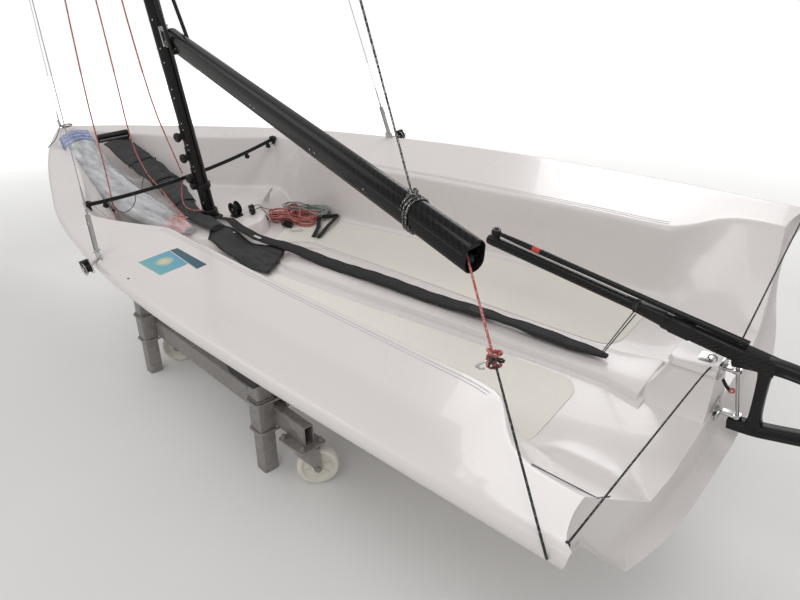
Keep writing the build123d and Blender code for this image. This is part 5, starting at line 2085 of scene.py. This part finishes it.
    def blade(self) -> None:
        """Raised blade with a foil section and round tip."""
        outline = (
            # distance aft of the pivot, leading edge above the line, trailing edge below it
            (-0.02, 0.03, -0.022), (0.03, 0.052, -0.034), (0.11, 0.098, -0.052), (0.26, 0.108, -0.064),
            (0.42, 0.098, -0.066), (0.54, 0.086, -0.062), (0.6, 0.066, -0.048), (0.632, 0.038, -0.02),
            (0.64, 0.018, 0),
        )
        start, tip = Vector(self.pivot), vec(-1.04, 0, 0.402)
        along = (tip - start).normalized()
        up = Y.cross(along)
        rows = []
        for i in range(49):
            d = outline[0][0] + (outline[-1][0] - outline[0][0]) * i / 48
            high, low = smooth_table(outline, d), smooth_table(outline, d, 2)
            thick = 0.009 * (1 - 0.55 * blend_in(d, 0.45, 0.64))
            row = []
            for a in turns(24):
                t = (1 - cos(a)) / 2
                chord = low + (high - low) * t
                half = thick * sin(a) * (1.15 - 0.45 * abs(t - 0.6))
                row.append(start + along * d + up * chord + vec(0, max(-0.009, min(0.009, half)), 0))
            rows.append(row)
        shape = Shape()
        shape.solid(rows)
        shape.tube(mm((-392, -16.5, 198), (-392, 16.5, 198)), 0.006, 14)
        shape.done("blade_foil", GELCOAT, Body.BLADE, ["rudder_blade"], angle=60)

    def lines(self) -> None:
        """Bridle over the tiller, lashing of the strap, and the line that holds the boom down."""
        port = [
            vec(0.017, 0.811, 0.412), vec(0.0205, 0.434, 0.359), vec(0.024, 0.058, 0.306),
            vec(0.02, 0.045, 0.306)
        ]
        rope("bridle_port", port, self.bridle, ROPE_BLACK)
        star = [
            vec(0.017, -0.811, 0.412), vec(-0.003, -0.45, 0.401), vec(-0.026, -0.06, 0.389),
            vec(-0.028, -0.004, 0.381)
        ]
        rope("bridle_starboard", star, self.bridle, ROPE_BLACK)
        knots = Shape()
        for side in (1, -1):
            knots.lathe(mm((0, -4), (5.5, -2), (6, 3), (3, 10), (0, 11)), (0.017, side * 0.811, 0.408), Z, 12)
        knots.done("bridle_knots", RUBBER, weld=0.0001)
        coil = [
            vec(-0.028 + 0.008 * cos(0.7 * i), 0.008 * sin(0.7 * i), 0.372 + 0.0007 * i) for i in range(20)
        ]
        rope("bridle_coil", coil, 0.004, ROPE_BLACK, Body.RUDDER)
        eye = Shape()
        ring = [vec(0.03 + 0.011 * cos(a), 0, 0.3035 + 0.011 * sin(a)) for a in turns(16)]
        eye.hoop(ring, 0.0025, 8)
        eye.prism(rounded(0.036, 0.044, 0.008), (0.044, 0, 0.3015), X, Y, 0.0025)
        eye.done("upstand_plate", STAINLESS, bevel=0.0005)
        wrap = [
            self.on_tiller(0.3 + 0.0035 * i / 6) + vec(0, 0.0195 * cos(i * 0.8), 0.0195 * sin(i * 0.8))
            for i in range(26)
        ]
        rope("tiller_wrap", wrap, 0.0038, ROPE_BLACK, Body.RUDDER)
        for k, side in enumerate((0.008, -0.006)):
            bottom = vec(0.33 + 0.006 * k, side, 0.203)
            joined(
                "strap_lashing_" + "ab"[k],
                [bottom, self.on_tiller(0.304 + 0.01 * k) + vec(0, side * 2, -0.017)], 0.0017, ROPE_BLACK,
            )
        for k, tail in enumerate(((0.02, 0.03, 0.03), (-0.012, 0.034, 0.018))):
            start = self.on_tiller(0.305, 0.018)
            rope(
                "lashing_tail_" + "ab"[k],
                [start, start + Vector(tail) * 0.6, start + Vector(tail) + vec(0.008, 0, -0.006)], 0.0036,
                ROPE_BLACK, Body.RUDDER
            )
        end, over, foot = along_boom(2.018, 0, -0.004), vec(0.0345, 0.8554, 0.4227), vec(0.036, 0.847, 0.396)
        bight = end.lerp(over, 0.44)
        joined("boom_red_line", [bight, end], 0.003, ROPE_RED)
        joined("gunwale_line", [foot, over, bight], 0.0026, ROPE_BLACK)
        knot = []
        for i in range(44):
            a = 0.33 * i
            knot.append(
                bight
                + vec(0.012 * sin(2.1 * a), 0.012 * cos(1.5 * a), 0.024 - 0.0009 * i + 0.007 * sin(2.7 * a))
            )
        joined("red_knot", knot, 0.003, ROPE_RED, True)
        joined(
            "black_knot", [p + (over - bight) * 0.05 for p in knot[:16]], 0.0026, ROPE_BLACK,
            True
        )
        hook = Shape()
        tip = bight + vec(0.03, 0.026, -0.012)
        hook.tube(
            [
                bight, bight.lerp(tip, 0.5) + Z * 0.006, tip, tip + vec(-0.004, -0.008, -0.008),
                tip + vec(-0.014, -0.01, -0.006)
            ], 0.0028, 8
        )
        tie(hook.done("line_snap", STAINLESS, None))

    def build(self) -> None:
        """Makes the stern's pieces."""
        self.hangers()
        self.stock()
        self.tiller()
        self.blade()
        self.lines()


TIES = {
    Body.BOOM: ((0.036, 0.847, 0.396), tuple(along_boom(2.018, 0, -0.004))),
    Body.RUDDER: ((0.33, 0, 0.203), (0.246, 0, 0.385)),
}


def tie(made: bpy.types.Object) -> None:
    """Bakes the place of a piece that reaches from the hull to a body that moves into its mesh."""
    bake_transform(made)


def joined(
    name: str, points: Sequence[Point], radius: float, finish: Finish, curved: bool = False
) -> None:
    """Line from the hull to a moving body."""
    path = [Vector(p) for p in points]
    if not curved:
        path = [a.lerp(b, i / 14) for a, b in zip(path, path[1:]) for i in range(14)] + [path[-1]]
    shape = Shape()
    shape.tube(path, radius, 8)
    tie(shape.done(name, finish, None))


@dataclass
class RedLines:
    """Red control lines that come down in front of the mast, and the lines round the bow."""

    thick: float = 0.0065

    def build(self) -> None:
        """Makes them."""
        rope(
            "red_line_fore",
            [
                up_mast(4.6, 0.036, 0.012), up_mast(3.5, 0.1, 0.06), up_mast(2.2, 0.19, 0.12),
                (2.79, 0.3, 0.98), (2.78, 0.345, 0.56), (2.785, 0.372, 0.37), (2.8, 0.376, 0.3)
            ], self.thick, ROPE_RED
        )
        rope(
            "red_line_middle",
            [
                up_mast(4.55, 0.036, 0), up_mast(3.5, 0.12, 0.03), up_mast(2.3, 0.22, 0.06),
                (2.76, 0.145, 1.02), (2.73, 0.2, 0.66), (2.68, 0.195, 0.5), (2.6, 0.19, 0.45),
                (2.5, 0.19, 0.36), (2.44, 0.18, 0.31)
            ], self.thick, ROPE_RED
        )
        rope(
            "red_line_aft",
            [
                up_mast(4.5, 0.036, -0.008), up_mast(3.3, 0.07, 0.02), up_mast(2, 0.12, 0.04),
                (2.66, 0.075, 0.9), (2.615, 0.055, 0.56), (2.6, 0.05, 0.47)
            ], self.thick, ROPE_RED
        )
        rope(
            "red_line_low", [(2.6, 0.052, 0.456), (2.6, 0.1, 0.36), (2.52, 0.12, 0.3), (2.5, 0.045, 0.285)],
            self.thick, ROPE_RED
        )
        rope(
            "bow_wrap",
            [(4.12 + 0.034 * cos(0.42 * i), 0.03 * sin(0.42 * i), 0.566 + 0.0004 * i) for i in range(34)],
            0.005, ROPE_FLECK
        )
        rope(
            "bow_line",
            [
                (4.17, 0.03, 0.572), (4.02, 0.1, 0.566), (3.86, 0.185, 0.552), (3.8, 0.238, 0.548),
                (3.79, 0.262, 0.536)
            ], 0.005, ROPE_BLACK
        )
        tape = Shape()
        path = mm(
            (2592, -535, 458), (2594, -533, 360), (2592, -488, 262), (2560, -430, 228.5),
            (2478, -330, 226.2), (2440, -290, 226.2),
        )
        smooth = [
            Vector([smooth_table([(k, *p) for k, p in enumerate(path)], i / 8, c) for c in (1, 2, 3)])
            for i in range(8 * (len(path) - 1) + 1)
        ]
        tape.sweep(smooth, rounded(0.016, 0.0012, 0.0005, 1), X)
        tape.done("deck_tape", TAPE)
        thin = [(2.59, 0.52, 0.47), (2.5, 0.53, 0.462), (2.36, 0.545, 0.452), (2.27, 0.556, 0.446)]
        rope("deck_thin_line", thin, 0.0022, ROPE_RED)


# Cradle


@dataclass
class Cradle:
    """Galvanised frame on legs and casters, with rubber pads under the hull."""

    centre: float = 0.02
    toe: float = 3.7
    rail_y: float = 0.659
    rail: Triple = (0.04, 0.08, 0.004)
    rail_low: float = 0.19
    rail_ends: tuple[float, float] = (1.057, 2.38)
    leg_y: float = 0.709
    legs: tuple[Triple, ...] = ((1.276, 0.388, 0.6), (2.299, 0.42, 0.69))
    beams: tuple[float, float] = (1.366, 2.309)
    clamps: tuple[float, float] = (0.18, 0.302)
    trail: float = 0.05
    wheel: float = 0.076
    # name, swivel x, swivel y, trail direction in degrees
    casters: tuple[tuple[str, float, float, float], ...] = (
        ("aft_port", 1.1452, 0.5863, 232), ("aft_starboard", 1.1452, -0.5463, 150),
        ("fore_port", 2.309, 0.385, 42), ("fore_starboard", 2.309, -0.345, 200),
    )

    def sided(self, shape: Shape, side: int) -> Shape:
        """A shape drawn square to the port rail, set on the port (1) or starboard (-1) side."""
        turn = Matrix.Rotation(radians(-self.toe), 4, "Z")
        verts = [turn @ v for v in shape.verts]
        if side == 1:
            return Shape(verts, list(shape.faces), list(shape.uvs))
        verts = [vec(v.x, 2 * self.centre - v.y, v.z) for v in verts]
        return Shape(verts, [f[::-1] for f in shape.faces], [u[::-1] for u in shape.uvs])

    def both(self, shape: Shape) -> Shape:
        """A shape drawn square to the port rail, set on both sides."""
        return self.sided(shape, 1).join(self.sided(shape, -1))

    def hollow(self, a: Point, b: Point, wide: float, high: float, wall: float, side: Point) -> Shape:
        """Rectangular hollow section from a to b, open at both ends."""
        shape = Shape()
        outer, inner = (rounded(wide - w, high - w, r, 3) for w, r in ((0, 0.006), (2 * wall, 0.003)))
        a, b = Vector(a), Vector(b)
        along = (b - a).normalized()
        across = (Vector(side) - along * along.dot(Vector(side))).normalized()
        up = along.cross(across)
        rings = [
            [end + across * u + up * v for u, v in face]
            for end, face in ((a, inner), (a, outer), (b, outer), (b, inner), (a, inner))
        ]
        shape.grid(rings, around=True)
        return shape

    def beam_half(self, station: float) -> float:
        """Half the length of a cross beam, from the middle to the rail's side."""
        return self.rail_y - station * sin(radians(self.toe)) - self.centre - 0.019

    def frame(self) -> None:
        """Two rails and two cross beams."""
        wide, high, wall = self.rail
        middle = self.rail_low + high / 2
        shape = self.both(
            self.hollow(
                (self.rail_ends[0], self.rail_y, middle), (self.rail_ends[1], self.rail_y, middle), wide,
                high, wall, Y
            )
        )
        for station in self.beams:
            half = self.beam_half(station)
            shape.join(
                self.hollow(
                    (station, self.centre - half, middle), (station, self.centre + half, middle), wide,
                    high, wall, X
                )
            )
        shape.done("cradle_rails", ZINC, nodes=["cradle_frame"], place=LEVEL, weld=1e-5, angle=40)
        welds = Shape()
        for station in self.beams:
            half = self.beam_half(station) - 0.001
            for side in (1, -1):
                end = vec(station, self.centre + side * half, middle)
                ring = [end + vec(u, 0, v) for u, v in rounded(wide + 0.002, high + 0.002, 0.006, 2)]
                welds.hoop(ring, 0.003, 6)
        welds.done("cradle_welds", ZINC, place=LEVEL)

    def legs_and_clamps(self) -> None:
        """Legs with foot plates, sleeves, U-bolts with nuts, and plates behind the rails."""
        legs, sleeves, clamps, caps = Shape(), Shape(), Shape(), Shape()
        for station, port, star in self.legs:
            for head, side in ((port, 1), (star, -1)):
                leg = Shape()
                leg.sweep(
                    [(station, self.leg_y, 0.001), (station, self.leg_y, head - 0.0005)],
                    rounded(0.06, 0.06, 0.006, 3), X
                )
                leg.sweep(
                    [(station, self.leg_y, 0), (station, self.leg_y, 0.005)],
                    rounded(0.0615, 0.0615, 0.008, 3), X
                )
                legs.join(self.sided(leg, side))
                sleeve = self.hollow(
                    (station, self.leg_y, self.clamps[0] - 0.012),
                    (station, self.leg_y, self.clamps[1] + 0.012),
                    0.07, 0.068, 0.004, X,
                )
                sleeves.join(self.sided(sleeve, side))
                clamp = Shape()
                half, outer, inner = 0.0403, self.leg_y + 0.0393, self.rail_y - 0.042
                for z in self.clamps:
                    path = [vec(station - half, inner, z)]
                    for k in range(9):
                        a = pi * (1 - k / 8)
                        corner = 0.018
                        x = copysign(half - corner, cos(a)) + corner * cos(a) if abs(cos(a)) > 1e-6 else 0
                        path.append(vec(station + x, outer - corner + corner * sin(a), z))
                    path.append(vec(station + half, inner, z))
                    clamp.tube(path, 0.005, 10)
                    for k in (-1, 1):
                        clamp.lathe(disc(9.5, 0, 8), (station + k * half, inner + 0.007, z), Y, 6)
                low, high = self.clamps
                clamp.block((station, inner + 0.018, (low + high) / 2), (0.11, 0.006, high - low + 0.036))
                clamps.join(self.sided(clamp, side))
                cap = Shape()
                cap.sweep(
                    [(station, self.leg_y, head - 0.006), (station, self.leg_y, head + 0.001)],
                    rounded(0.054, 0.054, 0.004, 2), X
                )
                caps.join(self.sided(cap, side))
        legs.done("cradle_posts", ZINC, nodes=["cradle_legs"], place=LEVEL, angle=40)
        sleeves.done("cradle_collars", ZINC, nodes=["cradle_sleeves"], place=LEVEL, weld=1e-5, angle=40)
        clamps.done("cradle_bolts", ZINC, nodes=["cradle_clamps"], place=LEVEL, angle=40)
        caps.done("cradle_caps", RUBBER, place=LEVEL)

    def caster(self, name: str, x: float, y: float, trail: float) -> None:
        """One swivel caster: plate with nuts, fork and wheel."""
        spin = Matrix.Translation((x, y, 0)) @ Matrix.Rotation(radians(trail), 4, "Z")
        place = LEVEL @ spin
        plate = Shape()
        plate.prism(rounded(0.14, 0.11, 0.01), (x, y, 0.182), X, Y, 0.008)
        plate.tube([(x, y, 0.168), (x, y, 0.184)], 0.008, 14)
        for u in (-0.054, 0.054):
            for v in (-0.04, 0.04):
                plate.lathe(disc(10.5, 0, 9), (x + u, y + v, 0.19), Z, 6)
                plate.lathe(disc(5.5, 0, 17, 18), (x + u, y + v, 0.19), Z, 12)
                plate.lathe(disc(8.5, 0, -5, -6), (x + u, y + v, 0.182), Z, 6)
        plate.done(f"caster_plate_{name}", ZINC, nodes=["caster_plates"], place=LEVEL, bevel=0.0008)
        fork = Shape()
        t = self.trail
        fork.lathe(
            mm((8.2, 166), (30, 166), (36, 170), (36, 173), (30, 178), (8.2, 178), (8.2, 166)), (0, 0, 0),
            Z, 30
        )
        fork.prism(rounded(0.078, 0.062, 0.012), (t / 2 - 0.002, 0, 0.158), X, Y, 0.009)
        outline = [
            (-0.029, 0.166), (t + 0.008, 0.166), (t + 0.016, 0.084), (t + 0.013, 0.066), (t, 0.058),
            (t - 0.012, 0.066), (t - 0.018, 0.084), (-0.018, 0.14)
        ]
        for side in (1, -1):
            fork.prism(outline, (0, 0.031 if side == 1 else -0.027, 0), X, Z, 0.004)
            fork.lathe(
                mm((0, 0), (10.5, 0), (10.5, 6), (7, 7), (0, 10)), (t, side * 0.031, self.wheel),
                (0, side, 0), 6
            )
        fork.tube([(t, -0.034, self.wheel), (t, 0.034, self.wheel)], 0.006, 14)
        fork.done(f"caster_fork_{name}", ZINC, f"caster_{name}", [f"fork_{name}"], place=place, bevel=0.0015)
        tyre = Shape()
        r = self.wheel
        profile = (
            (0.0063, 0.022), (0.02, 0.022), (0.022, 0.019), (0.024, 0.012), (0.05, 0.011), (0.056, 0.015),
            (0.059, 0.02), (r - 0.006, 0.02),
            (r - 0.002, 0.017), (r, 0.011), (r, -0.011), (r - 0.002, -0.017), (r - 0.006, -0.02),
            (0.059, -0.02), (0.056, -0.015),
            (0.05, -0.011), (0.024, -0.012), (0.022, -0.019), (0.02, -0.022), (0.0063, -0.022),
            (0.0063, 0.022),
        )
        tyre.lathe(profile, (t, 0, r), Y, 44)
        for side in (1, -1):
            for k in range(6):
                a = pi / 3 * k + 0.3
                out = vec(cos(a), 0, sin(a))
                tyre.block(vec(t, side * 0.0145, r) + out * 0.037, (0.03, 0.004, 0.006), out, Y)
        tyre.done(f"caster_tyre_{name}", NYLON, f"wheel_{name}", [f"wheel_{name}"], place=place, angle=30)

    def build(self) -> None:
        """Makes the cradle."""
        self.frame()
        self.legs_and_clamps()
        for row in self.casters:
            self.caster(*row)


def dress_nodes() -> None:
    """Gives each CAD node that still shows the finish of its slot."""
    slots = {part["node"]: part["material_slot"] for part in frame["record"]["subparts"]}
    for name, node in frame["nodes"].items():
        if node.hide_render:
            continue
        LOG.info("node %s shows", name)
        node.data.materials.clear()
        node.data.materials.append(SLOTS[slots[name]].material())


def main() -> None:
    """Builds the scene."""
    logging.basicConfig(level=logging.INFO, format="%(name)s %(message)s")
    Studio().build()
    ropes = (
        Hank(
            "red_hank", (2.35, -0.246, 0.1545), (2.041, -0.324, 0.1545), 0.084, 0.006, 8.3, ROPE_RED, 11,
            loops=(((2.19, -0.29, 0.212), (-0.0615, 0.043, -0.002), (-0.0194, -0.0279, 0), 2.4),)
        ),
        Hank(
            "grey_hank", (2.36, -0.346, 0.1545), (2.024, -0.394, 0.1545), 0.08, 0.0068, 6.7, ROPE_GREY, 10,
            8
        ),
        FreeLine("fore_line", 0.24, ROPE_BLACK, (
            (2.38, -0.17, 0.246), (2.38, -0.19, 0.246), (2.398, -0.216, 0.236), (2.418, -0.244, 0.21),
            (2.428, -0.278, 0.182), (2.418, -0.314, 0.167), (2.392, -0.34, 0.168), (2.362, -0.34, 0.168),
        )),
        FreeLine("aft_line", 0.185, ROPE_BLACK, (
            (2.33, -0.14, 0.246), (2.33, -0.162, 0.246), (2.342, -0.186, 0.242), (2.36, -0.208, 0.229),
            (2.378, -0.228, 0.204), (2.388, -0.246, 0.18), (2.376, -0.253, 0.167), (2.352, -0.253, 0.167),
        )),
        FreeLine("bar_lanyard", 0.235, ROPE_BLACK, (
            (2.587, 0.446, 0.473), (2.567, 0.446, 0.473), (2.553, 0.45, 0.452), (2.548, 0.446, 0.428),
            (2.55, 0.43, 0.41), (2.554, 0.405, 0.402), (2.556, 0.38, 0.406), (2.554, 0.356, 0.42),
            (2.56, 0.338, 0.442), (2.57, 0.33, 0.464), (2.587, 0.33, 0.464),
        )),
    )
    hull = Hull()
    for part in (
        *ropes, hull, Labels(hull), Mast(), Boom(), ForeGear(), WrappedSail(), ToeStrap(), Pile(),
        SternGear(), RedLines(), Cradle()
    ):
        part.build()
    dress_nodes()
    LOG.info("scene done")


if __name__ == "__main__":
    main()
